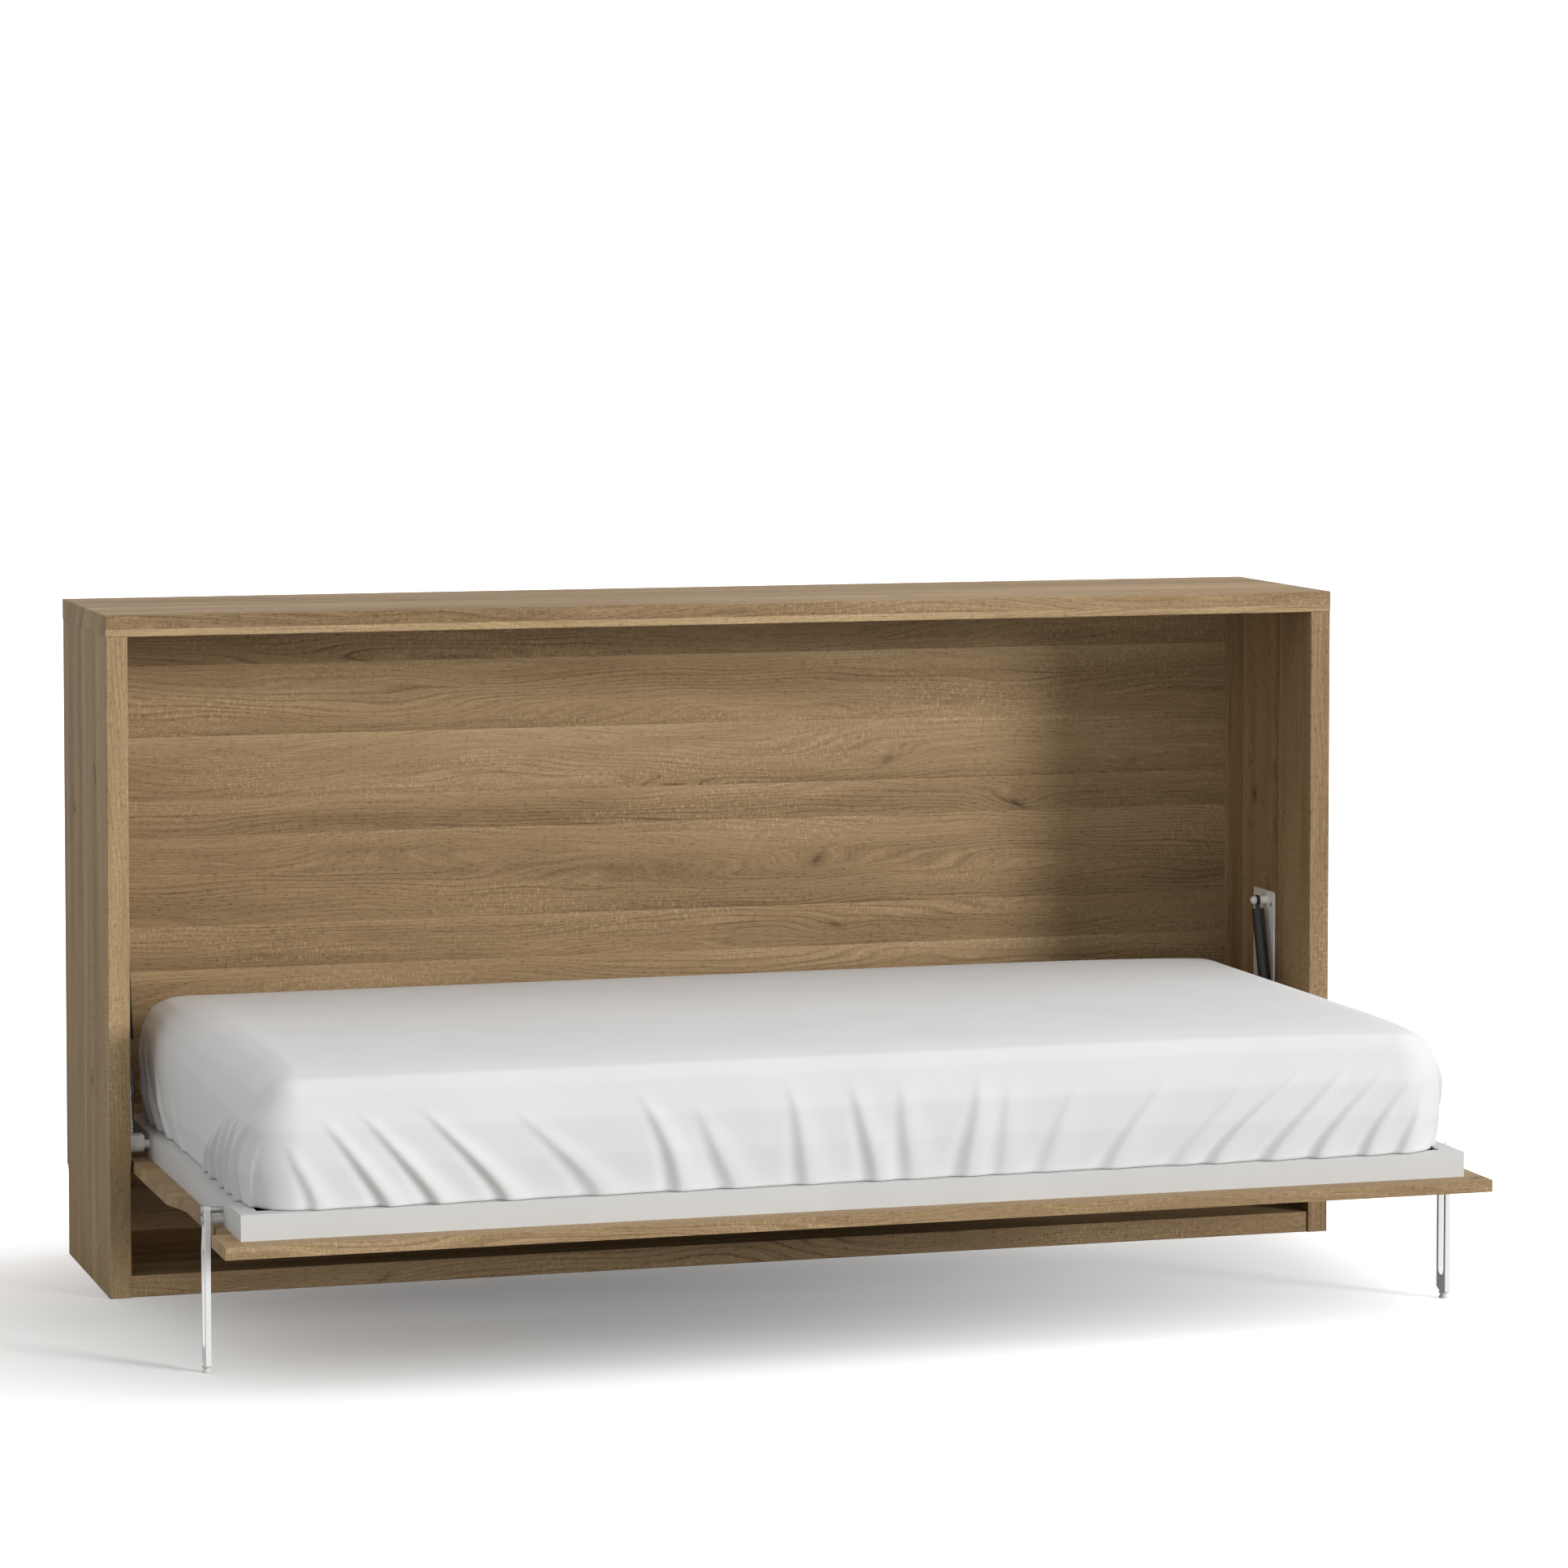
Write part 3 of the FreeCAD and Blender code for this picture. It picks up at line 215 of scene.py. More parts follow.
# %% [markdown]
# ## Oak laminate
# The boards are chipboard with a printed and embossed oak decor: planks about a hand wide lie side by side,
# each paler towards one edge, with long fine fibres, growth lines that flow round small knots, short dark
# pores and pale curly ray flecks. A photograph of oak would do it, but a pattern from noise needs no file
# and never repeats. The grain runs along each board, so the same recipe is used with its length along X, Y
# or Z.

# %% Oak laminate
PLANK_WIDTH = 0.1
PLANK_UNEVEN = 0.3
RING_SPACING = 0.009
FIBRE_WIDTH = 0.0026
PORE_WIDTH = 0.0016
PORE_LENGTH = 0.012
FLECK_LENGTH = 0.0035
FLECK_WIDTH = 0.011
KNOT_EVERY = (0.5, 0.17)


def oak_laminate(name, along, shift, dark="#6b543a", middle="#9f8562", light="#c5ad85"):
    """Oak decor with its grain along one axis; shift moves the pattern so that boards differ."""
    material, tree, out = new_material(name)

    def calc(operation, a, b=0.0, c=0.0):
        return add(tree, "ShaderNodeMath", {0: a, 1: b, 2: c}, operation=operation).outputs[0]

    def spread(value, low, high):
        return add(tree, "ShaderNodeMapRange", {0: value, 1: low, 2: high, 3: 0.0, 4: 1.0}).outputs[0]

    place = add(tree, "ShaderNodeTexCoord").outputs["Object"]
    moved = add(tree, "ShaderNodeMapping", {"Vector": place, "Location": shift}).outputs[0]
    axes = add(tree, "ShaderNodeSeparateXYZ", {0: moved})
    length = axes.outputs[along]
    others = [axes.outputs[axis] for axis in "XYZ" if axis != along]
    width = calc("ADD", others[0], others[1])

    # Planks of uneven width; each has random numbers of its own and a place across it from 0 to 1
    uneven = calc("MULTIPLY", calc("SINE", calc("MULTIPLY", width, 2.3 / PLANK_WIDTH)), PLANK_UNEVEN)
    count = calc("ADD", calc("DIVIDE", width, PLANK_WIDTH), uneven)
    number = calc("FLOOR", count)
    across = calc("SUBTRACT", count, number)
    chance = add(tree, "ShaderNodeTexWhiteNoise", {"W": number}, noise_dimensions="1D").outputs["Color"]
    chance = add(tree, "ShaderNodeSeparateColor", {0: chance})
    own_length = calc("MULTIPLY_ADD", chance.outputs[0], 9.0, length)
    own_width = calc("MULTIPLY_ADD", chance.outputs[1], 3.0, width)

    def pattern(per_length, per_width, detail, rough=0.5, second=own_width):
        spot = add(tree, "ShaderNodeCombineXYZ", {0: calc("MULTIPLY", own_length, per_length),
                                                  1: calc("MULTIPLY", second, per_width)}).outputs[0]
        return add(tree, "ShaderNodeTexNoise", {"Vector": spot, "Scale": 1.0, "Detail": detail,
                                                "Roughness": rough}, noise_dimensions="2D").outputs[0]

    # Knots: sparse points; the distance to each is measured in metres along and across the grain
    spot = add(tree, "ShaderNodeCombineXYZ", {0: calc("DIVIDE", own_length, KNOT_EVERY[0]),
                                              1: calc("DIVIDE", width, KNOT_EVERY[1])}).outputs[0]
    knot = add(tree, "ShaderNodeTexVoronoi", {"Vector": spot, "Scale": 1.0, "Randomness": 0.9},
               voronoi_dimensions="2D")
    away = add(tree, "ShaderNodeVectorMath", {0: spot, 1: knot.outputs["Position"]}, operation="SUBTRACT")
    away = add(tree, "ShaderNodeSeparateXYZ", {0: away.outputs[0]})
    ahead = calc("MULTIPLY", away.outputs[0], KNOT_EVERY[0])
    aside = calc("MULTIPLY", away.outputs[1], KNOT_EVERY[1])
    kind = add(tree, "ShaderNodeSeparateColor", {0: knot.outputs["Color"]})
    strong = spread(kind.outputs[0], 0.4, 0.9)
    slanted = calc("MULTIPLY_ADD", aside, calc("MULTIPLY_ADD", kind.outputs[1], 4.0, -2.0), ahead)

    def halo(half_length, half_width, along_it):
        a = calc("POWER", calc("ABSOLUTE", calc("DIVIDE", along_it, half_length)), 2.0)
        b = calc("POWER", calc("ABSOLUTE", calc("DIVIDE", aside, half_width)), 2.0)
        return calc("MULTIPLY", strong, calc("EXPONENT", calc("MULTIPLY", calc("ADD", a, b), -1.0)))

    swirl = halo(0.07, 0.022, ahead)
    heart = halo(0.007, 0.007, slanted)
    streak = halo(0.018, 0.013, slanted)

    # Growth lines: fine waves across the plank, bent by slow noise and pushed aside round the knots
    drift = pattern(1.3, 8.0, 2.0)
    ring_place = calc("MULTIPLY_ADD", drift, 0.11, calc("MULTIPLY_ADD", swirl, 0.035, own_width))
    rings = calc("SINE", calc("MULTIPLY", ring_place, 2 * math.pi / RING_SPACING))
    rings = calc("POWER", calc("MULTIPLY_ADD", rings, 0.5, 0.5), 5.0)
    ring_area = spread(pattern(0.9, 14.0, 2.0), 0.42, 0.7)
    rings = calc("MULTIPLY", rings, ring_area)

    broad = pattern(0.9, 13.0, 4.0, 0.55)
    fibre = pattern(6.0, 1 / FIBRE_WIDTH, 3.0, 0.62, second=ring_place)
    hair = pattern(34.0, 2.2 / FIBRE_WIDTH, 2.0, 0.6)
    pores = spread(pattern(1 / PORE_LENGTH, 1 / PORE_WIDTH, 1.0), 0.58, 0.72)
    fleck_area = spread(pattern(2.0, 11.0, 2.0), 0.44, 0.62)
    flecks = spread(pattern(1 / FLECK_LENGTH, 1 / FLECK_WIDTH, 2.0, 0.7), 0.54, 0.68)
    flecks = calc("MULTIPLY", flecks, fleck_area)

    # Add it all up to one tone, dark to light, and colour that
    tone = calc("MULTIPLY_ADD", calc("SUBTRACT", chance.outputs[2], 0.5), 0.12, 0.5)
    weights = ((across, 0.5, 0.17), (broad, 0.5, 0.5), (fibre, 0.5, 0.46), (hair, 0.5, 0.28),
               (rings, 0.0, -0.19), (pores, 0.0, -0.18), (flecks, 0.0, 0.23), (streak, 0.0, -0.2))
    for part, middle_value, weight in weights:
        tone = calc("MULTIPLY_ADD", calc("SUBTRACT", part, middle_value), weight, tone)
    ramp = add(tree, "ShaderNodeValToRGB", {0: tone})
    stops = ramp.color_ramp.elements
    stops[0].position, stops[0].color = 0.12, linear(dark)
    stops[1].position, stops[1].color = 0.9, linear(light)
    stops.new(0.5).color = linear(middle)
    knotted = add(tree, "ShaderNodeMix", {0: calc("MULTIPLY", heart, 0.75), 6: ramp.outputs[0],
                                          7: linear("#44372a")}, data_type="RGBA").outputs[2]
    relief = calc("MULTIPLY_ADD", pores, -0.6, fibre)
    bump = add(tree, "ShaderNodeBump", {"Height": relief, "Strength": 0.3, "Distance": 0.0006}).outputs[0]
    gloss = calc("MULTIPLY_ADD", fibre, 0.16, 0.46)
    shader = add(tree, "ShaderNodeBsdfPrincipled", {"Base Color": knotted, "Roughness": gloss,
                                                    "Normal": bump, "Specular IOR Level": 0.15})
    tree.links.new(shader.outputs[0], out.inputs["Surface"])
    return material


def dress(names, material):
    """Give CAD nodes a finish."""
    for name in names:
        slots = nodes[name].data.materials
        slots.clear()
        slots.append(material)


dress(["top_board"], oak_laminate("oak_top", "X", (0.0, 0.0, 0.0)))
dress(["back_panel", "wall_rail"], oak_laminate("oak_back", "X", (3.1, 0.0, 0.43)))
dress(["bottom_board"], oak_laminate("oak_bottom", "X", (5.7, 0.0, 0.07)))
dress(["front_panel"], oak_laminate("oak_panel", "X", (1.9, 0.0, 0.29)))
dress(["side_panel_left"], oak_laminate("oak_left", "Z", (0.0, 0.0, 2.3)))
dress(["side_panel_right"], oak_laminate("oak_right", "Z", (0.37, 0.0, 4.9)))
print("oak on the boards of the cabinet and on the front panel")

# %% [markdown]
# ## Metals, plastics and beech
# The tube frame and the legs are steel with a white powder coat, which flows to a very fine orange peel.
# The legs' copy of that coat is paler, which paints light on their faces in shade. The hinge plates have a
# paler, flatter coat, partly their own pale paint and partly painted light on plates that stand in shade.
# Bolts, studs and the bare ends of the struts are zinc plated steel, the struts' sleeves are black paint,
# their rods hard chrome, and the glides and bushes pale nylon.


# %% Painted and bare metal, nylon
ROUGH_SPREAD = 0.05


def coated(name, colour, rough, grit, depth, metal=0.0):
    """Finish with an even colour and a fine grain; grit is the grain's size in metres."""
    material, tree, out = new_material(name)
    place = add(tree, "ShaderNodeTexCoord").outputs["Object"]
    grain = add(tree, "ShaderNodeTexNoise", {"Vector": place, "Scale": 1 / grit, "Detail": 3.0}).outputs[0]
    cloud = add(tree, "ShaderNodeTexNoise", {"Vector": place, "Scale": 9.0, "Detail": 2.0}).outputs[0]
    shade = add(tree, "ShaderNodeMapRange", {0: cloud, 1: 0.3, 2: 0.7, 3: 0.955, 4: 1.0}).outputs[0]
    base = add(tree, "ShaderNodeVectorMath", {0: linear(colour)[:3], "Scale": shade},
               operation="SCALE").outputs[0]
    gloss = add(tree, "ShaderNodeMapRange", {0: grain, 1: 0.3, 2: 0.7, 3: rough - ROUGH_SPREAD,
                                             4: rough + ROUGH_SPREAD}).outputs[0]
    bump = add(tree, "ShaderNodeBump", {"Height": grain, "Strength": 0.3, "Distance": depth}).outputs[0]
    shader = add(tree, "ShaderNodeBsdfPrincipled", {"Base Color": base, "Roughness": gloss, "Normal": bump,
                                                    "Metallic": metal})
    tree.links.new(shader.outputs[0], out.inputs["Surface"])
    return material


def both_ends(*names):
    """Names of the pieces that both ends of the bed have."""
    return [name + end for name in names for end in ("_left", "_right")]


# Powder coats give wide soft highlights, the plates' coat a tighter one
white_steel = coated("white_powder_coat", "#d0d0cf", 0.45, 0.0025, 0.00006)
# The legs' coat is paler than the frame's: painted light on the legs' faces in shade
paler_leg_coat_painted_light = coated("leg_coat_painted_light", "#f6f6f6", 0.6, 0.0025, 0.00006)
# The plates' coat is paler still: partly their own pale paint, partly painted light on the plates in shade
pale_coat_painted_light = coated("pale_plate_coat_painted_light", "#f1f0ed", 0.36, 0.002, 0.00005)
# Zinc and chrome mirror the room, one blurred and one sharp; paint and nylon only catch the key light
zinc = coated("zinc_plated_steel", "#c4c6c8", 0.3, 0.003, 0.00003, metal=1.0)
black_paint = coated("black_sleeve_paint", "#2b2d2c", 0.36, 0.002, 0.00004)
chrome = coated("hard_chrome_rod", "#dcdddf", 0.1, 0.004, 0.00001, metal=1.0)
nylon = coated("pale_nylon", "#e3e3e0", 0.5, 0.0015, 0.00005)
dress(["frame_front_rail", "frame_rear_rail", "frame_left_rail", "frame_right_rail", "cross_bars",
       "panel_tabs", "mattress_stops", "strut_bosses", "leg_spacers"], white_steel)
dress(both_ends("leg"), paler_leg_coat_painted_light)
dress(both_ends("hinge_plate", "pivot_block", "pivot_pin", "strut_stud"), pale_coat_painted_light)
dress(["wall_brackets", "bracket_screws", "panel_screws", "leg_bolts", "leg_stops"]
      + both_ends("strut_tube", "strut_rod_eye", "strut_lower_pin"), zinc)
dress(both_ends("strut_cover", "strut_eye"), black_paint)
dress(both_ends("strut_rod"), chrome)
dress(["pivot_bushes", "slat_holders"] + both_ends("leg_bush", "leg_foot", "strut_gland"), nylon)
beech = oak_laminate("beech_slats", "Y", (0.0, 0.0, 0.0), "#b08a5e", "#d0ac7e", "#e2c79f")
dress(["dowels", "slats"], beech)
print("steel, zinc, chrome and nylon dressed")

# %% [markdown]
# ## Screws of the hinge plates
# Countersunk wood screws with a cross recess hold the plates. From the room only the recess shows, as a
# dark spot. One screw is modelled from a cylinder, its cross is cut out with a second form, and copies of
# it go to all the places. The cut faces take the form's dark grey finish, which paints the shade in the
# recess. A flat disc with a painted cross would look the same from afar, but not close by.

# %% Hinge plate screws
SCREW_HEAD = 0.004
SCREW_CONE = 0.0022
SCREW_LENGTH = 0.025
CROSS_WIDTH = 0.0012
CROSS_REACH = 0.0016
CROSS_DEPTH = 0.0016
PLATE_FACE = 1.022
SCREW_PLACES = [(-0.043, 0.5495), (0.026, 0.5495), (-0.043, 0.409), (0.026, 0.409), (-0.189, 0.277),
                (-0.189, 0.216), (-0.043, 0.216), (0.026, 0.216)]


def choose_faces(piece, wanted):
    """Open a piece for editing, with the faces selected whose normal the test accepts."""
    bpy.ops.object.mode_set(mode="EDIT")
    bpy.ops.mesh.select_mode(type="FACE")
    bpy.ops.mesh.select_all(action="DESELECT")
    bpy.ops.object.mode_set(mode="OBJECT")
    for face in piece.data.polygons:
        face.select = wanted(face.normal)
    bpy.ops.object.mode_set(mode="EDIT")


bpy.ops.object.select_all(action="DESELECT")
bpy.ops.mesh.primitive_cylinder_add(vertices=32, radius=SCREW_HEAD, depth=SCREW_CONE,
                                    location=(0, 0, -SCREW_CONE / 2))
screw = bpy.context.active_object
screw.data.materials.append(zinc)
choose_faces(screw, lambda normal: normal.z < -0.9)
bpy.ops.transform.resize(value=(0.5, 0.5, 1), center_override=(0, 0, -SCREW_CONE))
bpy.ops.mesh.extrude_region_move(TRANSFORM_OT_translate={"value": (0, 0, SCREW_CONE - SCREW_LENGTH)})
bpy.ops.transform.resize(value=(0.5, 0.5, 1), center_override=(0, 0, -SCREW_LENGTH))
bpy.ops.object.mode_set(mode="OBJECT")
bpy.ops.mesh.primitive_cube_add(size=CROSS_WIDTH)
cross = bpy.context.active_object
cross.scale.z = 2 * CROSS_DEPTH / CROSS_WIDTH
bpy.ops.object.transform_apply(location=False, rotation=False, scale=True)
# Dark grey for the faces that the cross cuts: painted shade in the recess
cross.data.materials.append(coated("painted_shade_recess_steel", "#3a3a3a", 0.5, 0.001, 0.00002, metal=1.0))
choose_faces(cross, lambda normal: abs(normal.z) < 0.1)
bpy.ops.mesh.extrude_faces_move(TRANSFORM_OT_shrink_fatten={"value": CROSS_REACH})
bpy.ops.object.mode_set(mode="OBJECT")
print("cross recess", [round(v * 1000, 1) for v in cross.dimensions], "mm")

# %% Cut the cross and set the screws
bpy.context.view_layer.objects.active = screw
cut = screw.modifiers.new("cross_recess", "BOOLEAN")
cut.operation = "DIFFERENCE"
cut.solver = "EXACT"
cut.material_mode = "TRANSFER"
cut.object = cross
bpy.ops.object.modifier_apply(modifier=cut.name)
bpy.data.objects.remove(cross)
bpy.ops.object.select_all(action="DESELECT")
for side in (-1, 1):
    for count, (y, z) in enumerate(SCREW_PLACES):
        one = screw.copy()
        one.data = screw.data.copy()
        scene.collection.objects.link(one)
        turn = Matrix.Rotation(-side * math.pi / 2, 4, "Y") @ Matrix.Rotation(0.7 * count + side, 4, "Z")
        one.matrix_world = Matrix.Translation((side * PLATE_FACE, y, z)) @ turn @ screw.matrix_world
        one.select_set(True)
bpy.context.view_layer.objects.active = one
bpy.ops.object.join()
bpy.ops.object.transform_apply(location=True, rotation=True, scale=True)
bpy.ops.object.shade_smooth_by_angle(angle=math.radians(35))
plate_screws = bpy.context.active_object
plate_screws.name = "hinge_plate_screw_set"
bpy.data.objects.remove(screw)
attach(plate_screws, "cabinet")
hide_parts("hinge_plate_screws")
print(2 * len(SCREW_PLACES), "screws,", len(plate_screws.data.polygons), "faces")

# %% [markdown]
# ## The soft side of the bed
# Mattress and fitted sheet share their sections: how far the side stands out from a plain 1.9 by 0.9 m
# block, at each height in millimetres. A section runs from the crown over the upper edge down the full
# side, turns in on top of the frame, drops between the rails and ends under the mattress. The long sides
# have a crisp upper edge. The ends have a soft one, which turns full towards the back on the left and
# towards the front on the right. The top sinks a little towards the front edge and towards the right end.
# Both pieces are cut like cloth: a flat grid is the top, its edge is extruded down as a skirt, and the
# skirt is then laid along the section, so the cloth keeps about its length. A box with bevelled edges would
# be quicker, but its faces would be too long to fold.

# %% Section of the soft side
BLOCK_HALF = np.array([0.95, 0.45])
BLOCK_ROUND = 0.06
LONG_SIDE = [(-450, 469), (-60, 467), (-9, 464), (3, 446), (22, 390), (29, 330), (29, 285)]
SOFT_END = [(-450, 469), (-60, 467), (-28, 459), (0, 440), (23, 396), (29, 340), (29, 285)]
FULL_END = [(-450, 469), (-60, 467), (-8, 465), (16, 454), (30, 425), (34, 385), (29, 325), (29, 285)]
TUCK = [(29, 284), (29, 262.3), (3, 262.2), (-5, 256), (-16, 251.4), (-75, 251.3)]
LONG_EASE = 10
SOFT_EASE = 20
FULL_EASE = 14
TUCK_EASE = 3
SEAT_DROP = 0.013
RIGHT_DROP = 0.0085
SINK_FROM = 0.28
SINK_OVER = 0.16
RIGHT_FULLNESS = 0.65
EDGE_DEPTH = 0.187
SEAT_HEIGHT = 0.2634
TUCK_DEPTH = 0.105
END_DRAW_IN = 0.012
DRAW_BELOW = 0.315
DRAW_OVER = 0.05
DRAW_STAND = 0.015
bed_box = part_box("mattress")
middle_y = (bed_box[0][1] + bed_box[1][1]) / 2


def points_of(piece):
    """All points of a mesh as an array of x, y, z."""
    flat = np.empty(len(piece.data.vertices) * 3)
    piece.data.vertices.foreach_get("co", flat)
    return flat.reshape(-1, 3)


def move_points(piece, places):
    """Put the points of a mesh at new places."""
    piece.data.vertices.foreach_set("co", np.ascontiguousarray(places, dtype=np.float32).ravel())
    piece.data.update()


def eased(line, ease):
    """Points every millimetre along a line of corners, with each corner eased over that many millimetres."""
    corners = np.array(line, dtype=float)
    run = np.concatenate([[0], np.cumsum(np.linalg.norm(np.diff(corners, axis=0), axis=1))])
    fine = np.arange(0, run[-1], 1.0)
    dense = np.stack([np.interp(fine, run, corners[:, k]) for k in (0, 1)], axis=1)
    weight = np.hanning(2 * ease + 3)[1:-1]
    sides = [np.pad(dense[:, k], ease, "reflect", reflect_type="odd") for k in (0, 1)]
    return np.stack([np.convolve(side, weight / weight.sum(), "valid") for side in sides], axis=1) / 1000


upper_lines = ((LONG_SIDE, LONG_EASE), (SOFT_END, SOFT_EASE), (FULL_END, FULL_EASE))
tuck = eased(TUCK, TUCK_EASE)
sections = [np.concatenate([eased(line, ease), tuck]) for line, ease in upper_lines]
print("sections of long side, soft end and full end:", [len(line) for line in sections], "points")


# %% Cut and wrap a cover
def wrap(places, grow):
    """Lay a flat top with a hanging skirt round the sections, made larger by grow."""
    plan = places[:, :2] - np.array([0.0, middle_y])
    core = BLOCK_HALF - BLOCK_ROUND
    inner = np.clip(plan, -core, core)
    corner = (plan - inner) / BLOCK_ROUND
    way = corner * np.sqrt(1 - corner[:, ::-1] ** 2 / 2)
    far = np.linalg.norm(way, axis=1)
    inside = np.max(np.abs(plan) - core, axis=1) / BLOCK_ROUND
    distance = (np.where(far > 1e-6, far, inside) - 1) * BLOCK_ROUND
    depth = places[:, 2].max() - places[:, 2]
    hangs = depth > 1e-5
    laid = []
    for section in sections:
        slope = np.gradient(section, axis=0)
        slope /= np.linalg.norm(slope, axis=1)[:, None]
        line = section + grow * np.stack([-slope[:, 1], slope[:, 0]], axis=1)
        top = int(np.argmax(section[:, 0] > 0))
        run = np.concatenate([[0], np.cumsum(np.linalg.norm(np.diff(section[top:], axis=0), axis=1))])
        edge = run[np.argmax(section[top:, 1] < SEAT_HEIGHT)]
        along = np.where(depth < EDGE_DEPTH, depth * edge / EDGE_DEPTH, edge + depth - EDGE_DEPTH)
        crown = np.interp(distance, line[:top + 1, 0], line[:top + 1, 1])
        laid.append([np.where(hangs, np.interp(along, run, line[top:, 0]), distance),
                     np.where(hangs, np.interp(along, run, line[top:, 1]), crown)])
    long_side, soft_end, full_end = np.array(laid)
    away = way / np.maximum(far, 1e-6)[:, None]
    full = np.clip(0.5 - np.sign(plan[:, 0]) * plan[:, 1] / (2 * BLOCK_HALF[1]), 0, 1)
    full *= np.where(plan[:, 0] > 0, RIGHT_FULLNESS, 1.0)
    end = soft_end + full * (full_end - soft_end)
    stand, rise = long_side + away[:, 0] ** 2 * (end - long_side)
    share = np.clip(plan / BLOCK_HALF * (1, -1), 0, 1) ** 6
    rise -= share @ (RIGHT_DROP, SEAT_DROP) * np.clip((rise - SINK_FROM) / SINK_OVER, 0, 1)
    drawn = END_DRAW_IN * away[:, 0] ** 2 * np.clip((DRAW_BELOW - rise) / DRAW_OVER, 0, 1)
    drawn *= np.clip(stand / DRAW_STAND, 0, 1)
    put = np.empty_like(places)
    put[:, :2] = inner + away * np.where(far > 1e-6, BLOCK_ROUND + stand - drawn, 0)[:, None]
    put[:, 1] += middle_y
    put[:, 2] = rise
    return put, inner, away


def cut_cover(name, step):
    """Flat top with a straight skirt, both divided to about the given step."""
    across = [round(2 * half / step) for half in BLOCK_HALF]
    bpy.ops.object.select_all(action="DESELECT")
    bpy.ops.mesh.primitive_grid_add(x_subdivisions=across[0], y_subdivisions=across[1], size=1.0,
                                    location=(0, middle_y, 1.0))
    cover = bpy.context.active_object
    cover.name = name
    cover.scale = (2 * BLOCK_HALF[0], 2 * BLOCK_HALF[1], 1)
    bpy.ops.object.transform_apply(location=True, rotation=True, scale=True)
    bpy.ops.object.mode_set(mode="EDIT")
    bpy.ops.mesh.select_mode(type="EDGE")
    bpy.ops.mesh.select_all(action="DESELECT")
    bpy.ops.mesh.select_non_manifold()
    row = EDGE_DEPTH / round(EDGE_DEPTH / step)
    for count in range(int((EDGE_DEPTH + TUCK_DEPTH) / row)):
        bpy.ops.mesh.extrude_region_move(TRANSFORM_OT_translate={"value": (0, 0, -row)})
    return cover


# %% [markdown]
# ## The mattress
# A sprung mattress with soft edges. It is cut a little smaller than the sheet's section, closed underneath,
# and blown up as cloth with its underside held still: that is how padding pushes against a cover. How far a
# point may move is capped, so that the padding stays under the sheet.

# %% Mattress
PADDING_STEP = 0.013
PADDING_UNDER = 0.0075
PADDING_LIFT = 0.0016
HELD_HEIGHT = 0.02
PRESSURE = 4.0
SWELL_STEPS = 20
SWELL_CAP = 0.002
mattress = cut_cover("mattress_padding", PADDING_STEP)
bpy.ops.mesh.edge_face_add()
bpy.ops.mesh.select_all(action="SELECT")
bpy.ops.mesh.normals_make_consistent(inside=False)
bpy.ops.object.mode_set(mode="OBJECT")
before = wrap(points_of(mattress), -PADDING_UNDER)[0]
before[:, 2] = np.maximum(before[:, 2], bed_box[0][2] + PADDING_LIFT)
move_points(mattress, before)
print("mattress from", before.min(axis=0).round(4), "to", before.max(axis=0).round(4))

# %% Swell the mattress
held = mattress.vertex_groups.new(name="underside")
low_points = np.nonzero(before[:, 2] < bed_box[0][2] + HELD_HEIGHT)[0]
held.add([int(i) for i in low_points], 1.0, "REPLACE")
cloth = mattress.modifiers.new("padding_pressure", "CLOTH")
cloth.settings.use_pressure = True
cloth.settings.uniform_pressure_force = PRESSURE
cloth.settings.quality = 4
cloth.settings.vertex_group_mass = "underside"
cloth.settings.effector_weights.gravity = 0.0
cloth.collision_settings.use_collision = False
for step in range(1, SWELL_STEPS + 1):
    scene.frame_set(step)
bpy.ops.object.modifier_apply(modifier=cloth.name)
scene.frame_set(1)
swell = points_of(mattress) - before
far = np.maximum(np.linalg.norm(swell, axis=1), 1e-9)
move_points(mattress, before + swell * np.minimum(1.0, SWELL_CAP / far)[:, None])
print("mattress swells by", round(float(far.max()) * 1000, 1), "mm before the cap")
bpy.ops.object.shade_smooth()

# %% [markdown]
# ## The fitted sheet
# A stretched cotton sheet with an elastic hem that grips under the mattress. The top stays smooth, and the
# hem gathers the skirt into soft folds that fan out from the corners.

# %% Fitted sheet
SHEET_STEP = 0.0078
FINE_DEPTH = 0.205
sheet = cut_cover("fitted_sheet", SHEET_STEP)
bpy.ops.mesh.select_all(action="SELECT")
bpy.ops.mesh.normals_make_consistent(inside=False)
bpy.ops.mesh.select_mode(type="FACE")
bpy.ops.mesh.select_all(action="DESELECT")
bpy.ops.object.mode_set(mode="OBJECT")
middles = np.empty(len(sheet.data.polygons) * 3)
sheet.data.polygons.foreach_get("center", middles)
fall = 1.0 - middles[2::3]
behind = middles[1::3] > middle_y + BLOCK_HALF[1] - 1e-3
sheet.data.polygons.foreach_set("select", (fall > 1e-3) & (fall < FINE_DEPTH) & ~behind)
bpy.ops.object.mode_set(mode="EDIT")
bpy.ops.mesh.subdivide(number_cuts=1)
bpy.ops.object.mode_set(mode="OBJECT")
flat_points, inner, out_way = wrap(points_of(sheet), 0.0)
move_points(sheet, flat_points)
bpy.ops.object.shade_smooth()
print("sheet", len(sheet.data.polygons), "faces")

# %% [markdown]
# ### Folds of the sheet
# Each fold is a stroke on one side of the bed: where its foot is along that side, how far its top leans
# over, how high it reaches as a share of the side's height, how wide it is and how far it stands out, in
# millimetres. Its cross-section is a ridge between two shallow valleys, and it fades out at the top.

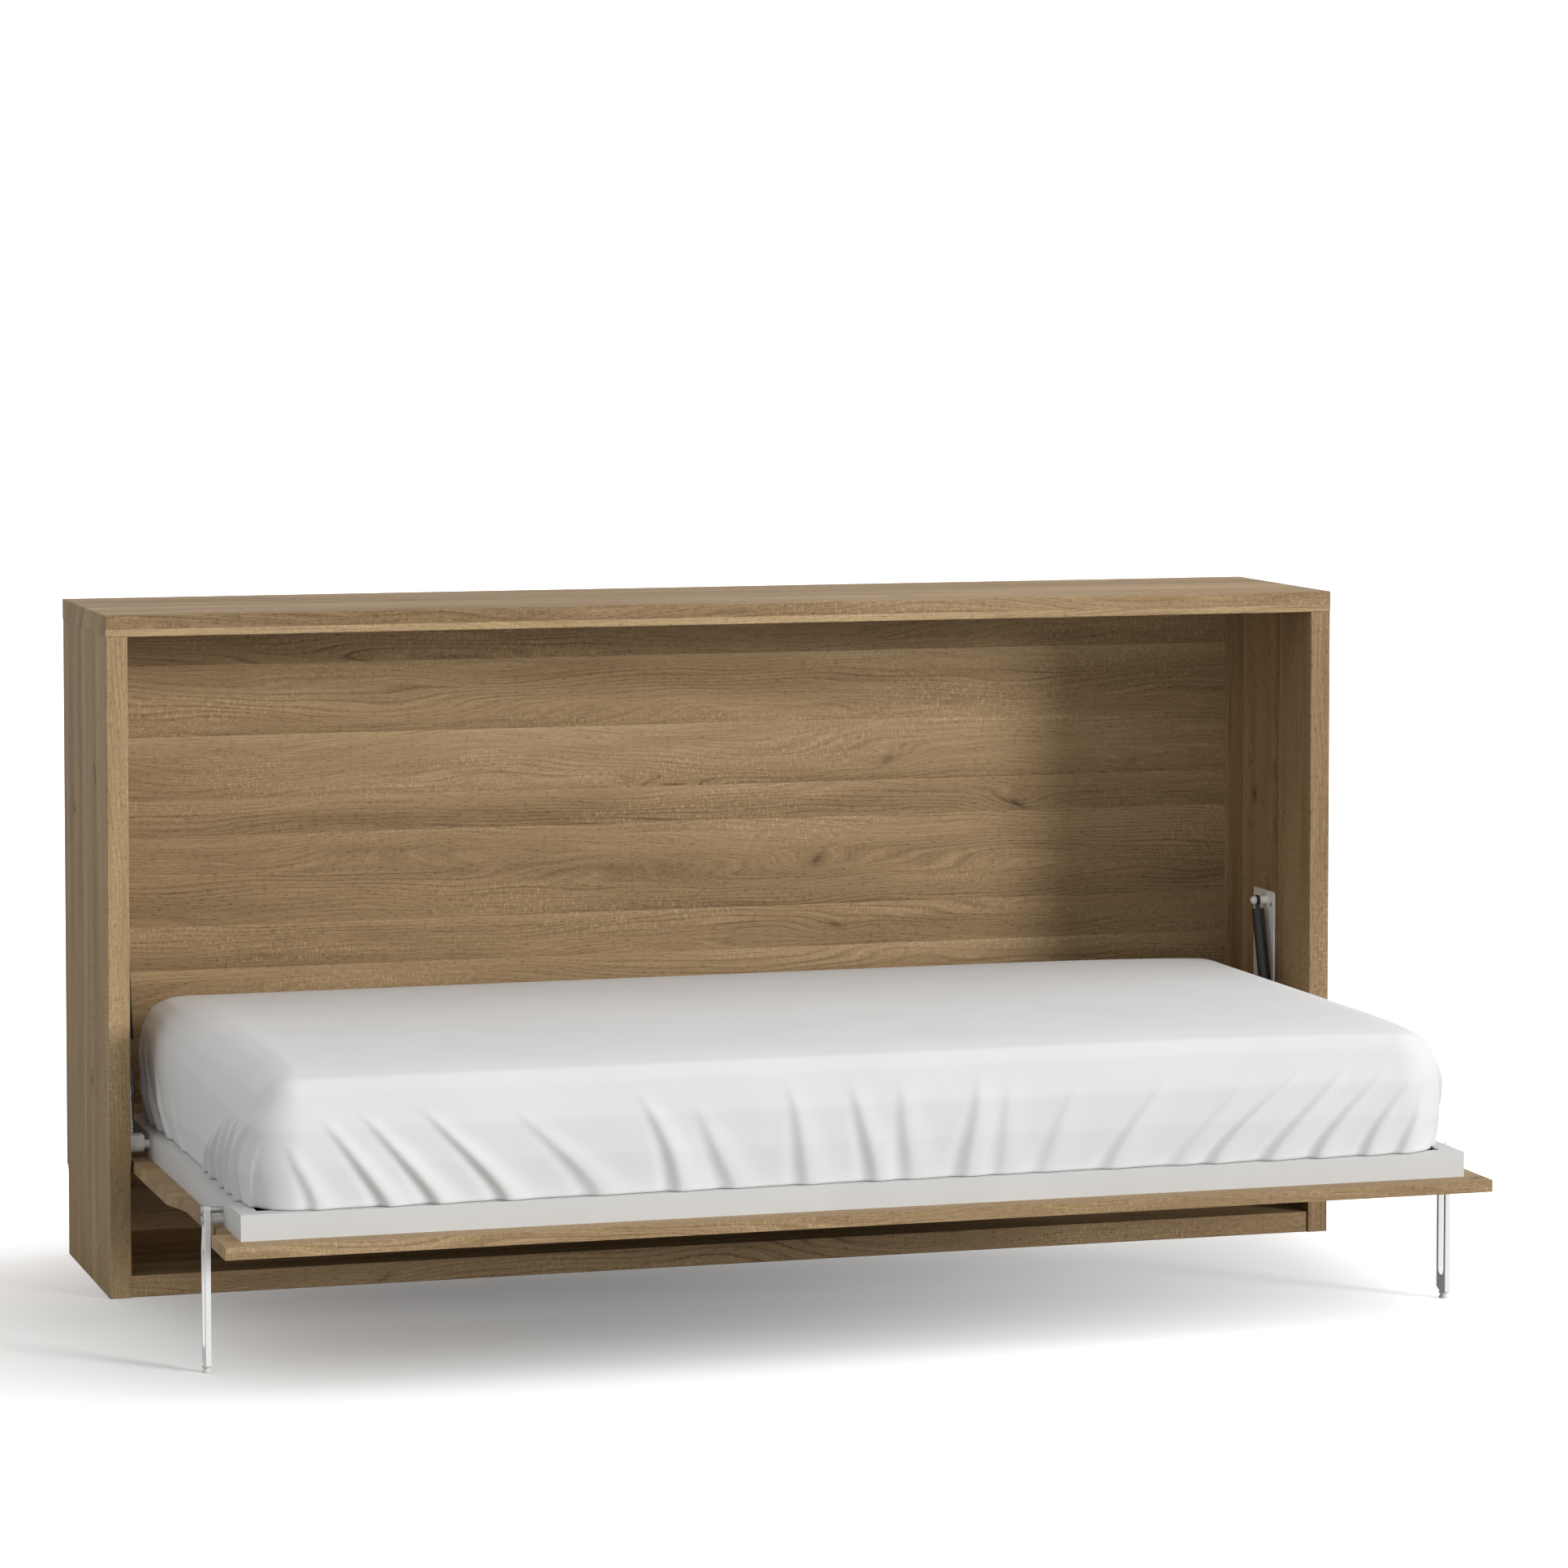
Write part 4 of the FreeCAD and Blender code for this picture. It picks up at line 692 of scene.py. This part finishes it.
# %% Fold strokes
RAIL_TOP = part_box("frame_front_rail")[1][2]
SIDE_HEIGHT = 0.185
VALLEY_SHARE = 0.42
DEEPEST = -0.0045
HIGHEST = 0.0105
FRONT_FLANKS = (0.8, 2.0)
END_FLANKS = (0.6, 1.2)
FRONT_FOLDS = [(-872, -38, 55, 9, 6), (-757, -108, 74, 10, 9), (-682, -127, 80, 10, 9),
               (-576, -136, 82, 11, 9), (-432, -126, 74, 14, 6), (-302, -66, 86, 12, 8),
               (-217, -62, 72, 13, 6), (-96, -39, 92, 12, 6), (8, -32, 92, 12, 7), (65, -6, 90, 13, 6),
               (162, 20, 88, 13, 7), (224, 2, 82, 13, 4), (284, 66, 76, 13, 4), (400, 92, 78, 12, 6),
               (514, 118, 74, 13, 5), (569, 164, 82, 11, 9), (665, 141, 82, 11, 9), (745, 125, 78, 10, 9),
               (826, 88, 68, 9, 7), (886, 43, 52, 8, 6)]
END_FOLDS = [(-429, -30, 60, 6, 5), (-366, -85, 84, 6, 12), (-308, -92, 76, 6, 12), (-248, -108, 74, 7, 12),
             (-168, -140, 66, 8, 10), (-105, -120, 46, 9, 7), (95, 40, 55, 13, 4), (215, 66, 70, 11, 6),
             (300, 66, 84, 10, 8), (362, 46, 92, 10, 9), (415, 22, 96, 11, 10)]


def stroke(place, height, fold, flanks):
    """How far one fold lifts points along a side; flanks are the widths before and after its ridge."""
    foot, lean, reach, half_width, depth = fold
    rise = np.clip(height / (reach / 100), 0.0, 1.0)
    fade = 1 - rise ** 1.8
    wide = half_width / 1000 * (1.35 - 0.75 * rise)
    line = foot + lean * rise ** 1.25 + 4 * np.sin(4 * rise + foot)
    off = (place - line / 1000) / wide
    ridge = np.exp(-(off / np.where(off < 0, *flanks)) ** 2)
    valley = VALLEY_SHARE * np.exp(-((off + 1.55) / 0.75) ** 2)
    return depth / 1000 * (fade * ridge - fade ** 2.5 * valley)


height = (flat_points[:, 2] - RAIL_TOP) / SIDE_HEIGHT
stand = np.linalg.norm(flat_points[:, :2] - [0.0, middle_y] - inner, axis=1) - BLOCK_ROUND
settled = np.clip(stand / 0.02, 0, 1) * (height < 1.15)
lift = np.zeros(len(flat_points))
for side, folds, flanks in (("front", FRONT_FOLDS, FRONT_FLANKS), ("left", END_FOLDS, END_FLANKS),
                            ("right", END_FOLDS, END_FLANKS), ("back", FRONT_FOLDS, FRONT_FLANKS)):
    along = 0 if side in ("front", "back") else 1
    facing = out_way[:, 1 - along] * (-1 if side in ("front", "left") else 1)
    angle = np.arctan2(out_way[:, along], np.maximum(facing, 1e-6))
    place = inner[:, along] + (BLOCK_ROUND + 0.025) * angle
    turned = np.clip(facing / 0.35, 0, 1)
    for fold in folds:
        lift += turned * stroke(place, height, fold, flanks)
lift = np.clip(lift, DEEPEST, HIGHEST) * settled
moved = flat_points.copy()
moved[:, :2] += out_way * lift[:, None]
move_points(sheet, moved)
print("folds lift the sheet by", round(float(lift.max()) * 1000, 1), "mm at most")

# %% [markdown]
# ### Cotton and ticking
# Percale is a plain weave with threads about 0.3 mm apart, finer than the picture can show, so the weave is
# drawn as slubs of about 1.5 mm: they break the white very slightly and keep it from looking like plastic.
# A little sheen stands for the fine fibres at the surface. The mattress has a knitted ticking of its own
# under the sheet.

# %% Sheet fabric and mattress cover
SLUB_SIZE = 0.0015
material, tree, out = new_material("white_cotton_percale")
place = add(tree, "ShaderNodeTexCoord").outputs["Object"]
weave = add(tree, "ShaderNodeTexNoise", {"Vector": place, "Scale": 1 / SLUB_SIZE, "Detail": 2.0}).outputs[0]
cloud = add(tree, "ShaderNodeTexNoise", {"Vector": place, "Scale": 7.0, "Detail": 3.0}).outputs[0]
blend = add(tree, "ShaderNodeMath", {0: weave, 1: 0.6, 2: cloud}, operation="MULTIPLY_ADD").outputs[0]
white = add(tree, "ShaderNodeMix", {0: blend, 6: linear("#d2d2d1"), 7: linear("#dbdbdb")},
            data_type="RGBA").outputs[2]
bump = add(tree, "ShaderNodeBump", {"Height": weave, "Strength": 0.12, "Distance": 0.0004}).outputs[0]
shader = add(tree, "ShaderNodeBsdfPrincipled", {"Base Color": white, "Roughness": 0.85, "Normal": bump,
                                                "Sheen Weight": 0.12, "Sheen Roughness": 0.5})
tree.links.new(shader.outputs[0], out.inputs["Surface"])
sheet.data.materials.append(material)
mattress.data.materials.append(coated("knitted_ticking", "#e6e4de", 0.85, 0.004, 0.0004))

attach(mattress, "bed")
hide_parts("mattress")
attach(sheet, "bed")
